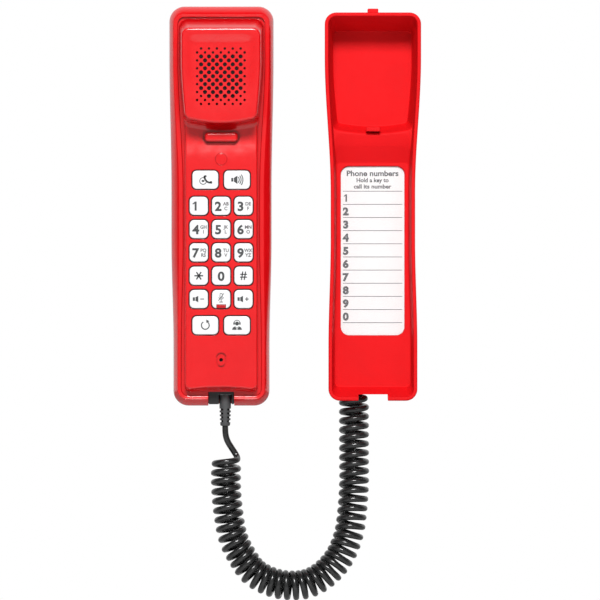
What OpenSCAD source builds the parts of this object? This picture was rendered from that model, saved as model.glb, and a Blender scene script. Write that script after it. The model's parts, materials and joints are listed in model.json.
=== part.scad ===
// Slimline wall phone: a push-button handset beside its open wall cradle, joined by a curly cord.
// Upright as on a wall: +Z up, +X to the right, the wall is the plane y = 0 and the front faces -Y.
// The origin is at the middle of the cradle's back, between its two wall-screw keyholes.

/* [Cradle] */
// Height of the cradle from edge to edge of its rim
cradle_h = 208.8; // [207:0.2:211]
// Depth of the cradle from the wall to its rim
cradle_d = 31; // [30:0.5:33]
// Thickness of the cradle's rim and side walls
cradle_wall = 2; // [1.8:0.1:2.1]
// Depth of the earpiece recess below the rim
recess_depth = 23; // [22.5:0.1:23.5]
// Depth of the floor that carries the number card, below the rim
floor_depth = 13; // [12.5:0.1:13.5]
// Depth of the ridge that faces the hook switch, below the rim
ridge_depth = 8.7; // [8.6:0.1:9]

/* [Handset] */
// Distance from the cradle's centre line to the handset's centre line
handset_gap = 81.5; // [78:0.5:90]
// How far the handset's back stands behind its rim
handset_d = 18; // [17.5:0.5:20]
// Height of the keypad face in front of the rim
panel_rise = 5; // [4.5:0.1:5]
// Height of the earpiece pod's face in front of the rim
pod_rise = 18; // [17:0.1:18]
// Wall thickness of the handset's mouldings
handset_wall = 1.8; // [1.6:0.1:2]

/* [Keys] */
// Width and height of a key in the 3 by 5 block
key_size = 9.85; // [9:0.05:10]
// Width of the two wide keys above and below that block
wide_key = 13.9; // [13:0.1:14]
// Distance between the key columns
key_pitch_x = 12; // [12:0.1:12.4]
// Distance between the key rows
key_pitch_z = 12.5; // [12.2:0.1:12.6]
// How far a key stands in front of the keypad face
key_rise = 1.2; // [0.8:0.1:1.4]
// Free gap round each key
key_gap = 0.6; // [0.3:0.05:0.65]

/* [Hook switch] */
// Width of the hook switch's plunger
plunger_w = 17.7; // [16:0.1:18]
// Height of the hook switch's plunger
plunger_h = 5.05; // [4.5:0.05:5.2]
// How far the plunger stands in front of the hollow it sits in
plunger_rise = 4.4; // [4:0.1:4.4]

/* [Wall fixing] */
// Distance between the two keyholes
keyhole_spacing = 84; // [80:1:90]
// Radius of a keyhole's round entry
keyhole_r = 4.5; // [4:0.1:4.8]
// Width of a keyhole's slot
keyhole_slot = 4.4; // [4:0.1:4.6]

/* [Cord] */
// Diameter of the cord
cord_d = 3.3; // [3.2:0.1:3.4]
// Outer diameter of the cord's coil
coil_d = 16.4; // [16:0.1:16.6]

/* [Hidden] */
$fn = 48;
body_red = [0.86, 0.04, 0.05];
key_white = [0.95, 0.95, 0.94];
dark = [0.07, 0.07, 0.08];
board_green = [0.1, 0.32, 0.2];
steel = [0.7, 0.7, 0.72];
silicone = [0.82, 0.83, 0.8];

// Heights on the shared outline: straight waist, then widening to the shoulder above and the hip below
waist_top = 8;
waist_bottom = -18;
shoulder_z = 80;
hip_z = -75;
corner_steps = 5;
side_steps = 8;
bow_steps = 4;
curve_steps = 4;

// An outline is [bottom, top, half width at the shoulder, waist and hip, corner radius, bow of the bottom edge]
cradle_rim = [-cradle_h / 2, cradle_h / 2, 25.9, 22.7, 23.9, 6.2, 0];
handset_rim = [-103.5, 103.7, 25.8, 22.9, 23.4, 5.2, 0];
handset_widest = [-107.1, 107.9, 28.1, 27, 25.9, 8.2, 0];
widest_depth = 7;
flank_bend = 1.6;
back_edge = 8;
handset_mouth = [-101.8, 101.9, 23.4, 20.5, 21.5, 3.8, 0];
ledge_depth = 4;
pod_base = [43, 101.2, 22.9, 17.6, 17.6, 4.5, 1.6];
pod_face = [44.4, 95.6, 21.2, 16.4, 16.4, 4.2, 1.8];
panel_base = [-99.2, 45, 19.8, 19.8, 19.8, 3.4, -1];
panel_face = [-97, 45, 19.3, 19.3, 19.3, 2.8, -1];
cradle_cavity = [-97.4, 97.4, 21.4, 18.3, 19.5, 3.5, 0];
recess_floor = [43.7, 95.5, 21.35, 16.2, 16.2, 2.6, 1.6];

rim_y = -cradle_d;
panel_y = -panel_rise;
pod_y = -pod_rise;
valley_rise = panel_rise - 1.6;
valley_top = 44;
valley_bottom = 36;
valley_start = 29.5;
board_y = 3;
board_t = 1.6;
floor_y = rim_y + floor_depth;
ridge_y = rim_y + ridge_depth;
recess_y = rim_y + recess_depth;
floor_skin = 3;
recess_skin = 2;
cover_t = 2;

hook_z = 37.3;
hook_gap_x = 1.1;
hook_gap_z = 0.8;
cord_notch = [-7.1, 6.9];
case_post_r = 3;
case_hole_r = 1.1;
cover_post_r = 3;
cover_hole_r = 1.25;
lamp_z = 25.4;
lamp_r = 3.15;
lamp_flange = 0.9;
mic_z = -82.3;
grille_z = 69.4;
grille_rows = 15;
grille_pitch_x = 4.23;
grille_pitch_z = 2.12;
hole_r = 1.1;
small_hole_r = 0.68;
handset_screw_places = [[0, 90.5], [-12, -88], [12, -88]];
cover_screw_places = [[-14, 88], [14, 88], [-13, -28], [13, -28]];

card_w = 34.6;
card_h = 91.4;
card_z = -23.7;
card_r = 4.7;
card_pocket = 1.5;
card_t = 0.3;
window_t = 1;

// The cord's exits: the handset's is a little right of its centre line
boot_x = 2;
boot_y = 7.5;
boot_top = -101.3;
boot_bottom = -118;
cradle_exit_x = -10;
cradle_exit_y = -9;
network_x = 9;
coil_top_z = -102;
coil_route = [
    [-10, -11, coil_top_z], [-10, -11, -118], [-10, -12, -134], [-10, -13, -149], [-11, -15, -164],
    [-13, -17, -177], [-18, -19, -189], [-26, -21, -198], [-35, -22, -203], [-45, -23, -204],
    [-55, -23, -202], [-64, -23.5, -197], [-70, -23.5, -189], [-75, -23.5, -179], [-77.5, -23.5, -167],
    [-79, -23.5, -152], [-79, -23.5, -136]];
lead_route = [
    [-79.5, -23.5, boot_bottom], [-79.5, -23.5, -122], [-78.5, -23.5, -126], [-76, -23.5, -129.2],
    [-73.5, -23.5, -132], [-72.5, -23.5, -136]];

// [node, column centre, row centre, width]
row_z = 0.3;
KEYS = [
    ["key_message", -8.5, row_z + 14, wide_key], ["key_loudspeaker", 8.5, row_z + 14, wide_key],
    ["key_1", -key_pitch_x, row_z, key_size],
    ["key_2", 0, row_z, key_size],
    ["key_3", key_pitch_x, row_z, key_size],
    ["key_4", -key_pitch_x, row_z - key_pitch_z, key_size],
    ["key_5", 0, row_z - key_pitch_z, key_size],
    ["key_6", key_pitch_x, row_z - key_pitch_z, key_size],
    ["key_7", -key_pitch_x, row_z - 2 * key_pitch_z, key_size],
    ["key_8", 0, row_z - 2 * key_pitch_z, key_size],
    ["key_9", key_pitch_x, row_z - 2 * key_pitch_z, key_size],
    ["key_star", -key_pitch_x, row_z - 3 * key_pitch_z, key_size],
    ["key_0", 0, row_z - 3 * key_pitch_z, key_size],
    ["key_hash", key_pitch_x, row_z - 3 * key_pitch_z, key_size],
    ["key_volume_down", -key_pitch_x, row_z - 4 * key_pitch_z, key_size],
    ["key_mute", 0, row_z - 4 * key_pitch_z, key_size],
    ["key_volume_up", key_pitch_x, row_z - 4 * key_pitch_z, key_size],
    ["key_redial", -8.5, row_z - 4 * key_pitch_z - 14.1, wide_key],
    ["key_operator", 8.5, row_z - 4 * key_pitch_z - 14.1, wide_key]];
mute_z = row_z - 4 * key_pitch_z;
mute_lamp_w = 5;
mute_lamp_h = 2;
key_back = 3;
key_flange = 0.75;
dome_top = 0.2;
mat_t = 0.8;

// ---- outlines and lofts ----

function smooth(t) = let (u = min(1, max(0, t))) u * u * (3 - 2 * u);

// Half width of an outline at height z
function half_at(z, s) =
    z > waist_top
        ? s[3] + (s[2] - s[3]) * smooth((z - waist_top) / (shoulder_z - waist_top))
        : s[3] + (s[4] - s[3]) * smooth((waist_bottom - z) / (waist_bottom - hip_z));

function corner(s, z, from) = [for (i = [0:corner_steps])
    let (a = from + 90 * i / corner_steps)
    [half_at(z, s) + s[5] * (cos(a) - 1), z + s[5] * sin(a)]];

function right_side(s) =
    let (lo = s[0] + s[5] + s[6], hi = s[1] - s[5])
    concat(
        corner(s, lo, -90),
        [for (i = [1:side_steps - 1]) let (z = lo + (hi - lo) * i / side_steps) [half_at(z, s), z]],
        corner(s, hi, 0));

function outline(s) =
    let (right = right_side(s), end_x = right[0][0])
    concat(
        right,
        [for (i = [len(right) - 1:-1:0]) [-right[i][0], right[i][1]]],
        [for (i = [1:bow_steps - 1]) let (x = end_x * (2 * i / bow_steps - 1)) [x, s[0] + s[6] * pow(x / end_x, 2)]]);

// The same outline, larger by dx on each side, dz at each end and dr in its corner radius
function grown(s, dx, dz, dr) = s + [-dz, dz, dx, dx, dx, is_undef(dr) ? min(dx, dz) : dr, 0];

function mixed(s, t, part) = s * (1 - part) + t * part;

// Joins outlines, given as [y, outline] from front to back, into one closed solid
module loft(sections) {
    rings = [for (s = sections) outline(s[1])];
    n = len(rings[0]);
    last = len(sections) - 1;
    points = concat(
        [for (k = [0:last]) for (p = rings[k]) [p[0], sections[k][0], p[1]]],
        [for (k = [0, last]) [0, sections[k][0], (sections[k][1][0] + sections[k][1][1]) / 2]]);
    front = len(points) - 2;
    ends = [for (i = [0:n - 1]) let (j = (i + 1) % n) each [[front, j, i], [front + 1, last * n + i, last * n + j]]];
    sides = [for (k = [0:last - 1]) for (i = [0:n - 1])
        let (a = k * n + i, b = k * n + (i + 1) % n)
        each [[a, b, b + n], [a, b + n, a + n]]];
    polyhedron(points, concat(ends, sides), convexity = 6);
}

// A flat shape in x and z, from y_front back to y_front + thick
module slab(y_front, thick) {
    translate([0, y_front + thick, 0]) rotate([90, 0, 0]) linear_extrude(thick) children();
}

module rounded(w, h, r) {
    square([w - 2 * r, h], center = true);
    square([w, h - 2 * r], center = true);
    for (x = [-1, 1], z = [-1, 1]) translate([x * (w / 2 - r), z * (h / 2 - r)]) circle(r);
}

// A round post along y, from y_front back to y_back
module post(x, z, r, y_front, y_back) {
    translate([x, y_back, z]) rotate([90, 0, 0]) cylinder(r = r, h = y_back - y_front);
}

module block(x, y, z) {
    translate([x[0], y[0], z[0]]) cube([x[1] - x[0], y[1] - y[0], z[1] - z[0]]);
}

module in_handset() {
    translate([-handset_gap, rim_y, 0]) children();
}

// ---- tubes along a route ----

function unit(v) = v / norm(v);

function spline_point(p, i, t) =
    let (a = p[max(0, i - 1)], b = p[i], c = p[i + 1], d = p[min(len(p) - 1, i + 2)])
    0.5 * (2 * b + (c - a) * t + (2 * a - 5 * b + 4 * c - d) * t * t + (3 * b - a - 3 * c + d) * t * t * t);

function spline(p, steps) = concat(
    [for (i = [0:len(p) - 2]) for (k = [0:steps - 1]) spline_point(p, i, k / steps)], [p[len(p) - 1]]);

function direction(p, i) =
    i == 0 || i == len(p) - 1 ? [0, 0, i == 0 ? p[1][2] - p[0][2] : p[i][2] - p[i - 1][2]] : p[i + 1] - p[i - 1];

// A round tube along points p; its end faces are level unless the ends are free
module tube(p, r, sides, level_ends = true) {
    last = len(p) - 1;
    points = [for (i = [0:last])
        let (t = unit(level_ends ? direction(p, i) : p[min(last, i + 1)] - p[max(0, i - 1)]),
             side = unit(cross(t, [0, 1, 0])), up = cross(side, t))
        for (k = [0:sides - 1]) let (a = 360 * k / sides) p[i] + r * (cos(a) * side + sin(a) * up)];
    ends = [[for (k = [0:sides - 1]) k], [for (k = [sides - 1:-1:0]) last * sides + k]];
    walls = [for (i = [0:last - 1]) for (k = [0:sides - 1])
        let (a = i * sides + k, b = i * sides + (k + 1) % sides)
        each [[a, b + sides, b], [a, a + sides, b + sides]]];
    polyhedron(points, concat(ends, walls), convexity = 6);
}

// ---- handset ----

// The rounded back edge, as [depth, how far the outline has turned in], down to the deepest face
function back_curve(deepest) = [for (i = [0:curve_steps])
    let (t = 90 * i / curve_steps) [widest_depth + (deepest - widest_depth) * sin(t), 1 - cos(t)]];

module handset_rear_shell() {
    widest_in = grown(handset_widest, -2.2, -2.2);
    back_out = grown(handset_widest, -back_edge, -back_edge, -3);
    mouth_in = grown(handset_mouth, -1.2, -1.2);
    in_back = handset_d - 2;
    inside = [for (c = back_curve(in_back)) [c[0], mixed(widest_in, grown(back_out, -0.6, -0.6), c[1])]];
    flank = [for (i = [0:curve_steps])
        let (t = i / curve_steps) [widest_depth * t, mixed(handset_rim, handset_widest, 1 - pow(1 - t, flank_bend))]];
    back = [for (c = back_curve(handset_d)) [c[0], mixed(handset_widest, back_out, c[1])]];
    color(body_red) in_handset() difference() {
        union() {
            loft(concat(
                [for (i = [curve_steps:-1:0]) inside[i]],
                [[ledge_depth + 1.4, mouth_in], [ledge_depth, mouth_in], [ledge_depth, handset_mouth], [0, handset_mouth]],
                flank,
                [for (i = [1:curve_steps]) back[i]]));
            for (p = handset_screw_places) post(p[0], p[1], 3.6, 12, in_back + 0.5);
        }
        for (p = handset_screw_places) {
            post(p[0], p[1], 1.5, 11, handset_d + 1);
            post(p[0], p[1], 2.9, 14, handset_d + 1);
        }
        block(cord_notch, [-1, 12.4], [-112, -99]);
    }
}

module grille_holes() {
    for (k = [0:grille_rows - 1]) {
        count = k % 2 == 0 ? 6 : 7;
        for (i = [0:count - 1]) {
            edge_row = k == 0 || k == grille_rows - 1;
            next_row = k == 1 || k == grille_rows - 2;
            end_hole = i == 0 || i == count - 1;
            r = edge_row || next_row || (end_hole && count == 7) || (end_hole && k == 12) ? small_hole_r : hole_r;
            post(
                (i - (count - 1) / 2) * grille_pitch_x,
                grille_z + ((grille_rows - 1) / 2 - k) * grille_pitch_z, r, pod_y - 1, pod_y + handset_wall + 0.5);
        }
    }
}

module obround(w, h) {
    r = w / 2;
    square([w, h - w], center = true);
    for (z = [-1, 1]) translate([0, z * (h - w) / 2]) circle(r);
}

function panel_hollow(bottom, top, half) = [bottom, top, half, half, half, 3, 0];

module handset_front_shell() {
    w = handset_wall;
    color(body_red) in_handset() difference() {
        union() {
            slab(2, ledge_depth - 2) polygon(outline(grown(handset_mouth, -0.15, -0.15)));
            difference() {
                loft([[panel_y, grown(panel_face, -0.7, -0.7)], [panel_y + 0.7, panel_face], [2.5, panel_base]]);
                translate([-30, 0, 0]) rotate([90, 0, 90]) linear_extrude(60) polygon([
                    [panel_y - 1, valley_start], [panel_y, valley_start], [-valley_rise, valley_bottom],
                    [-valley_rise, valley_top + 8], [panel_y - 1, valley_top + 8]]);
            }
            loft([[pod_y, grown(pod_face, -1.3, -1.3)], [pod_y + 0.4, grown(pod_face, -0.5, -0.5)],
                  [pod_y + 1.3, pod_face], [2.5, pod_base]]);
        }
        loft([[panel_y + w, panel_hollow(-95.4, valley_start - 1, 18)],
              [ledge_depth + 1, panel_hollow(-97, valley_start - 1, 18.4)]]);
        loft([[-valley_rise + w, panel_hollow(20, 48, 18)], [ledge_depth + 1, panel_hollow(20, 48, 18.4)]]);
        post(0, lamp_z, lamp_r + lamp_flange + 0.2, panel_y + w, 1);
        loft([[pod_y + w, grown(pod_face, -w, -w)], [ledge_depth + 1, grown(pod_base, -w, -w)]]);
        grille_holes();
        for (k = KEYS) translate([k[1], 0, k[2]])
            slab(panel_y - 1, w + 2) rounded(k[3] + 2 * key_gap, key_size + 2 * key_gap, 2.9);
        translate([0, 0, hook_z]) slab(-12, 12)
            rounded(plunger_w + 2 * hook_gap_x, plunger_h + 2 * hook_gap_z, 2.4);
        post(0, lamp_z, lamp_r + 0.1, panel_y - 1, 0);
        post(0, mic_z, 1, panel_y - 1, 0);
        translate([0, 0, mic_z]) slab(panel_y - 1, 1.8) difference() {
            obround(5.2, 7.8);
            obround(4, 6.6);
        }
        block(cord_notch, [1.5, ledge_depth + 1], [-103, -99.6]);
    }
    color(body_red) in_handset() for (p = handset_screw_places) difference() {
        post(p[0], p[1], case_post_r, p[1] > 0 ? pod_y + w : panel_y + w, 11.8);
        post(p[0], p[1], case_hole_r, 2, 12.5);
    }
}

module key_cap(k) {
    w = k[3];
    mute = k[0] == "key_mute";
    color(key_white) in_handset() translate([k[1], 0, k[2]]) difference() {
        union() {
            slab(panel_y - key_rise, key_rise + panel_rise - key_back) rounded(w, key_size, 2.4);
            slab(-key_back, 1) rounded(w + 2 * key_flange, key_size + 2 * key_flange, 2.6);
            post(0, 0, 2, -key_back + 0.5, dome_top);
        }
        if (mute) block([-mute_lamp_w / 2 - 0.1, mute_lamp_w / 2 + 0.1], [-12, -key_back - 0.2],
            [-key_size / 2 - 1, -key_size / 2 + mute_lamp_h + 0.1]);
    }
}

module mute_lamp() {
    color([0.75, 0.1, 0.1]) in_handset() translate([0, 0, mute_z]) block(
        [-mute_lamp_w / 2, mute_lamp_w / 2], [panel_y - key_rise + 0.2, -key_back - 0.2],
        [-key_size / 2, -key_size / 2 + mute_lamp_h]);
}

module keypad_mat() {
    color(silicone) in_handset() {
        translate([0, 0, -24.5]) slab(board_y - mat_t, mat_t) rounded(35, 92, 3);
        for (k = KEYS) translate([k[1], board_y - mat_t, k[2]]) rotate([90, 0, 0])
            cylinder(r1 = 3.6, r2 = 2.4, h = board_y - mat_t - dome_top);
    }
}

module handset_board() {
    color(board_green) in_handset() difference() {
        translate([0, 0, -21]) slab(board_y, board_t) rounded(34, 132, 2);
        for (p = handset_screw_places) post(p[0], p[1], 3.4, 0, 8);
    }
}

module hook_plunger() {
    color(body_red) in_handset() translate([0, 0, hook_z]) {
        slab(-valley_rise - plunger_rise, plunger_rise + valley_rise - 1.3) rounded(plunger_w, plunger_h, 1.8);
        slab(-1.4, 0.9) rounded(plunger_w + 3.6, plunger_h + 2.8, 1.5);
    }
}

module hook_spring() {
    turns = 4;
    steps = 12;
    front = -0.5;
    wire = 0.25;
    coil = [for (i = [0:turns * steps])
        let (a = 360 * i / steps, t = i / (turns * steps))
        [2.2 * cos(a), front + wire + (board_y - front - 2 * wire) * t, 2.2 * sin(a)]];
    color(steel) in_handset() translate([0, 0, hook_z]) tube(coil, wire, 6, false);
}

module hook_microswitch() {
    color(dark) in_handset() {
        block([4, 10], [board_y - 1, board_y], [hook_z - 3, hook_z + 3]);
        post(7, hook_z, 1.2, board_y - 1.1, board_y - 0.9);
    }
}

module message_lamp() {
    color([0.9, 0.15, 0.12]) in_handset() {
        post(0, lamp_z, lamp_r, panel_y, -1);
        post(0, lamp_z, lamp_r + lamp_flange, panel_y + handset_wall, -1);
    }
}

module earpiece_cloth() {
    color(dark) in_handset() translate([0, 0, grille_z]) slab(pod_y + handset_wall, 0.3) rounded(30, 33, 3);
}

module earpiece_gasket() {
    y = pod_y + handset_wall + 0.3;
    color([0.2, 0.2, 0.22]) in_handset() difference() {
        post(0, grille_z, 16.8, y, y + 0.8);
        post(0, grille_z, 14, y - 1, y + 2);
    }
}

module earpiece_speaker() {
    y = pod_y + handset_wall + 1.1;
    color(steel) in_handset() {
        difference() {
            post(0, grille_z, 16.8, y, y + 3);
            post(0, grille_z, 14.2, y - 1, y + 1.2);
        }
        post(0, grille_z, 10.5, y + 3, y + 8);
    }
}

module speaker_wires() {
    start = pod_y + handset_wall + 4.1;
    color([0.75, 0.15, 0.12]) in_handset() for (x = [-1.2, 1.2])
        tube([[x, start + 0.6, 56], [x, start + 1.2, 52], [x, start + 4, 48.5], [x, -3, 47.2],
              [x, 1.5, 46.8], [x, 6, 46.6], [x, 6.4, 44.5], [x, 5.1, 43]], 0.5, 6, false);
}

module ringer_sounder() {
    color(dark) in_handset() post(0, -4, 9, board_y + board_t, board_y + board_t + 4);
}

module microphone() {
    color(steel) in_handset() post(0, mic_z, 3, panel_y + handset_wall + 0.6, -0.4);
}

module microphone_boot() {
    color(dark) in_handset() difference() {
        post(0, mic_z, 4, panel_y + handset_wall, 0);
        post(0, mic_z, 3, panel_y + handset_wall + 0.6, 1);
        post(0, mic_z, 1, panel_y, 1);
    }
}

module handset_cord_jack() {
    color(dark) in_handset() difference() {
        union() {
            block([-6.8, 6.6], [ledge_depth + 0.3, 12], [-101.2, -90.5]);
            block([-6.8, -1.5], [ledge_depth + 0.3, 12], [-106.3, -101]);
            block([5.6, 6.6], [ledge_depth + 0.3, 12], [-106.3, -101]);
        }
        block([boot_x - 3.95, boot_x + 3.95], [boot_y - 3.1, boot_y + 3.1], [-104, -92.2]);
    }
}

module handset_cord_plug() {
    color([0.75, 0.76, 0.76]) in_handset()
        block([boot_x - 3.8, boot_x + 3.8], [boot_y - 2.9, boot_y + 2.9], [boot_top, -92.8]);
}

module handset_cord_boot() {
    color(dark) in_handset() difference() {
        union() {
            translate([boot_x, boot_y, -108]) cylinder(r = 3.1, h = boot_top + 108);
            translate([boot_x, boot_y, boot_bottom]) cylinder(r1 = 2.6, r2 = 3.1, h = -108 - boot_bottom);
        }
        for (i = [0:3], side = [-1, 1])
            block([boot_x + side * 3 - 1.4, boot_x + side * 3 + 1.4], [boot_y - 4, boot_y + 4],
                [-109.6 - 2.1 * i, -108.8 - 2.1 * i]);
    }
}

module handset_screws() {
    color(steel) in_handset() for (p = handset_screw_places) {
        post(p[0], p[1], 2.6, 14, 15.7);
        post(p[0], p[1], 1.05, 4, 14.1);
    }
}

// ---- cord ----

module cord_lead() {
    color(dark) tube(spline(lead_route, 3), cord_d / 2, 8);
}

module cord_coil() {
    color(dark) tube(spline(coil_route, 2), coil_d / 2, 12);
}

module cradle_cord_plug() {
    color([0.75, 0.76, 0.76]) {
        block([cradle_exit_x - 3.8, cradle_exit_x + 3.8], [cradle_exit_y - 2.9, cradle_exit_y + 2.9], [-99, -87]);
        translate([cradle_exit_x, cradle_exit_y, coil_top_z]) cylinder(r = 2.4, h = 3.1);
    }
}

// ---- cradle ----

module ridge_tab() {
    block([-3.5, 4], [ridge_y - 2.7, ridge_y + 7], [40.9, 42.9]);
}

module cradle_shell() {
    taper = [[0, 0, 0], [2, 0, 0], [5, 0.4, 1], [9, 1.2, 2.9], [14, 1.8, 4.2], [22, 2.3, 4.9],
             [cradle_d - 1.2, 2.6, 5.2], [cradle_d, 3.6, 6.2]];
    front_in = grown(cradle_rim, -cradle_wall, -cradle_wall);
    ridge_in = [-98.8, 99.8, 23, 19.8, 21, 3.8, 0];
    color(body_red) difference() {
        union() {
            loft([for (t = taper) [rim_y + t[0], grown(cradle_rim, -t[1], -t[2], -t[2] / 2)]]);
            block([-2.9, 2.9], [rim_y + 1, rim_y + 4.5], [102.8, 106.5]);
        }
        difference() {
            loft([[rim_y - 0.1, front_in], [ridge_y, ridge_in]]);
            ridge_tab();
        }
        loft([[ridge_y - 0.01, ridge_in + [0, 36 - ridge_in[1], 0, 0, 0, 0, 0]],
              [floor_y, [-97, 24, 22.5, 19.4, 20.6, 2.6, 0]]]);
        difference() {
            loft([[ridge_y - 0.01, ridge_in + [39.6 - ridge_in[0], 0, 0, 0, 0, 0, recess_floor[6]]],
                  [recess_y, recess_floor]]);
            ridge_tab();
        }
        loft([[recess_y + recess_skin, cradle_cavity], [0.1, cradle_cavity]]);
        lower_cavity = cradle_cavity + [0, 34 - cradle_cavity[1], 0, 0, 0, 0, 0];
        loft([[floor_y + floor_skin, lower_cavity], [recess_y + recess_skin + 0.1, lower_cavity]]);
        translate([0, 0, card_z]) slab(floor_y - 1, card_pocket + 1) rounded(card_w + 0.2, card_h + 0.2, card_r);
        block([-7.7, 8], [rim_y - 1, -18], [-112, -101]);
        block([cradle_exit_x - 4.1, cradle_exit_x + 4.1], [cradle_exit_y - 3.3, cradle_exit_y + 3.3], [-104, -96]);
        block([network_x - 6.2, network_x + 6.2], [-12, -3.9], [-104, -96]);
    }
    color(body_red) for (p = cover_screw_places) {
        y = p[1] > 0 ? recess_y + recess_skin : floor_y + floor_skin;
        difference() {
            post(p[0], p[1], cover_post_r, y - 0.5, -cover_t);
            post(p[0], p[1], cover_hole_r, -5.9, 0);
        }
    }
}

module keyhole(z) {
    post(0, z, keyhole_r, -cover_t - 1, 1);
    block([-keyhole_slot / 2, keyhole_slot / 2], [-cover_t - 1, 1], [z, z + keyhole_r + 5]);
    post(0, z + keyhole_r + 5, keyhole_slot / 2, -cover_t - 1, 1);
}

module cradle_back_cover() {
    color([0.78, 0.04, 0.05]) difference() {
        slab(-cover_t, cover_t) polygon(outline(grown(cradle_cavity, -0.2, -0.2)));
        for (side = [-1, 1]) keyhole(side * keyhole_spacing / 2);
        for (p = cover_screw_places) {
            post(p[0], p[1], 1.5, -cover_t - 1, 1);
            post(p[0], p[1], 2.7, -1.1, 1);
        }
    }
}

module cover_screws() {
    color(steel) for (p = cover_screw_places) {
        post(p[0], p[1], 2.5, -1.1, -0.1);
        post(p[0], p[1], 1.2, -5.7, -1);
    }
}

module cradle_board() {
    color(board_green) translate([0, 0, -69]) slab(floor_y + floor_skin + 0.2, 1.4) rounded(33, 54, 1.5);
}

module cradle_cord_jack() {
    y = floor_y + floor_skin + 1.6;
    color(dark) difference() {
        block([cradle_exit_x - 5.3, cradle_exit_x + 5.3], [y, y + 8.6], [-97.2, -84.5]);
        block([cradle_exit_x - 4, cradle_exit_x + 4], [cradle_exit_y - 3.1, cradle_exit_y + 3.1], [-98, -86]);
    }
}

module network_jack() {
    y = floor_y + floor_skin + 1.6;
    color([0.16, 0.16, 0.17]) difference() {
        block([network_x - 7.8, network_x + 7.8], [y, y + 10.8], [-97.2, -79]);
        block([network_x - 5.9, network_x + 5.9], [-11.9, -4], [-98, -84]);
    }
}

module number_card() {
    color([0.94, 0.94, 0.93]) translate([0, 0, card_z])
        slab(floor_y + card_pocket - card_t, card_t) rounded(card_w - 0.4, card_h - 0.4, card_r - 0.2);
}

module card_window() {
    color([0.9, 0.93, 0.95, 0.3]) translate([0, 0, card_z])
        slab(floor_y + card_pocket - card_t - window_t, window_t) rounded(card_w, card_h, card_r - 0.1);
}

handset_rear_shell();
handset_front_shell();
earpiece_cloth();
earpiece_gasket();
earpiece_speaker();
speaker_wires();
hook_plunger();
hook_spring();
hook_microswitch();
message_lamp();
mute_lamp();
keypad_mat();
handset_board();
ringer_sounder();
microphone();
microphone_boot();
handset_cord_jack();
handset_screws();
handset_cord_plug();
handset_cord_boot();
cord_lead();
cord_coil();
cradle_cord_plug();
cradle_shell();
cradle_back_cover();
cradle_board();
cradle_cord_jack();
network_jack();
number_card();
card_window();
cover_screws();
for (k = KEYS) key_cap(k);
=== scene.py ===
"""The slimline wall phone's visible pieces, materials, light and camera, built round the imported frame.

Lengths are millimetres in the row frame (+X right, +Z up, the viewer on -Y), and mesh_piece() turns them into
metres. Only the camera, the lights, the floor and the materials' scales are in metres.
"""

import json
import math

import bmesh
import bpy
import numpy as np
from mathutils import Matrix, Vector


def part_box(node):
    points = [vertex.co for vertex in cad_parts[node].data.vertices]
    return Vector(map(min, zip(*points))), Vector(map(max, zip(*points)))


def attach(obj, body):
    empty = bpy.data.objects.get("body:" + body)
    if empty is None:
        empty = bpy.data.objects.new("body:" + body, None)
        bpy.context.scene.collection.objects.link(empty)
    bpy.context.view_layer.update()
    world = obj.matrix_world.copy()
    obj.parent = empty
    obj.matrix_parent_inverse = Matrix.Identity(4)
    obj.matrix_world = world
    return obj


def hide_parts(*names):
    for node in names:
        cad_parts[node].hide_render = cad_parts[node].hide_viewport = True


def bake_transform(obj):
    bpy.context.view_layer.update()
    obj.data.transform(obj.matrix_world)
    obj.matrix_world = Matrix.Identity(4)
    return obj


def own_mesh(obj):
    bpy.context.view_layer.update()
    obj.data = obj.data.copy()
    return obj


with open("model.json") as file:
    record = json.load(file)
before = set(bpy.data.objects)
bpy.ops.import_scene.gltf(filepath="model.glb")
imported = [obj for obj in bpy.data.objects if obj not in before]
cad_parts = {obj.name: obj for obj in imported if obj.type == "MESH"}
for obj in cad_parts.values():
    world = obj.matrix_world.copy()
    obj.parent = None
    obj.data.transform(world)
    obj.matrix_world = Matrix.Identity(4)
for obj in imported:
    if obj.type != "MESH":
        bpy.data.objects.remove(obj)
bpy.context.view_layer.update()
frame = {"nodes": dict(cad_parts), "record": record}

MM = 0.001


def node_box(node):
    """Lowest and highest corner of a CAD node, in millimetres."""
    low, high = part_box(node)
    return np.array(low) / MM, np.array(high) / MM


def node_centre(node):
    low, high = node_box(node)
    return (low + high) / 2


RIM_Y = node_box("cradle_shell")[0][1]  # the plane of both pieces' rims
HANDSET_X = node_centre("handset_rear_shell")[0]
KEYS = sorted(n for n in frame["nodes"] if n.startswith("key_"))
PANEL_RISE, POD_RISE, VALLEY_RISE = 5.0, 18.0, 3.4  # how far the faces stand in front of the rim
WALL = 1.8
LEDGE = 4.0  # where the front shell's plate ends, behind the rim

# ---- camera: a long lens straight in front, which frames both pieces and the cord ----

VIEW_WIDTH = 0.3225
VIEW_CENTRE = Vector((-0.0392, 0, -0.0502))
VIEW_DISTANCE = 3.0
SENSOR = 36.0


def make_camera():
    data = bpy.data.cameras.new("camera")
    data.sensor_width = SENSOR
    data.lens = SENSOR * VIEW_DISTANCE / VIEW_WIDTH
    data.clip_end = 50
    camera = bpy.data.objects.new("camera", data)
    camera.location = VIEW_CENTRE + Vector((0, RIM_Y * MM - VIEW_DISTANCE, 0))
    camera.rotation_euler = (math.radians(90), 0, 0)
    bpy.context.scene.collection.objects.link(camera)
    bpy.context.scene.camera = camera


make_camera()

# ---- making and joining meshes ----


def edit(mesh, change):
    bm = bmesh.new()
    bm.from_mesh(mesh)
    change(bm)
    bm.to_mesh(mesh)
    bm.free()


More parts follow.
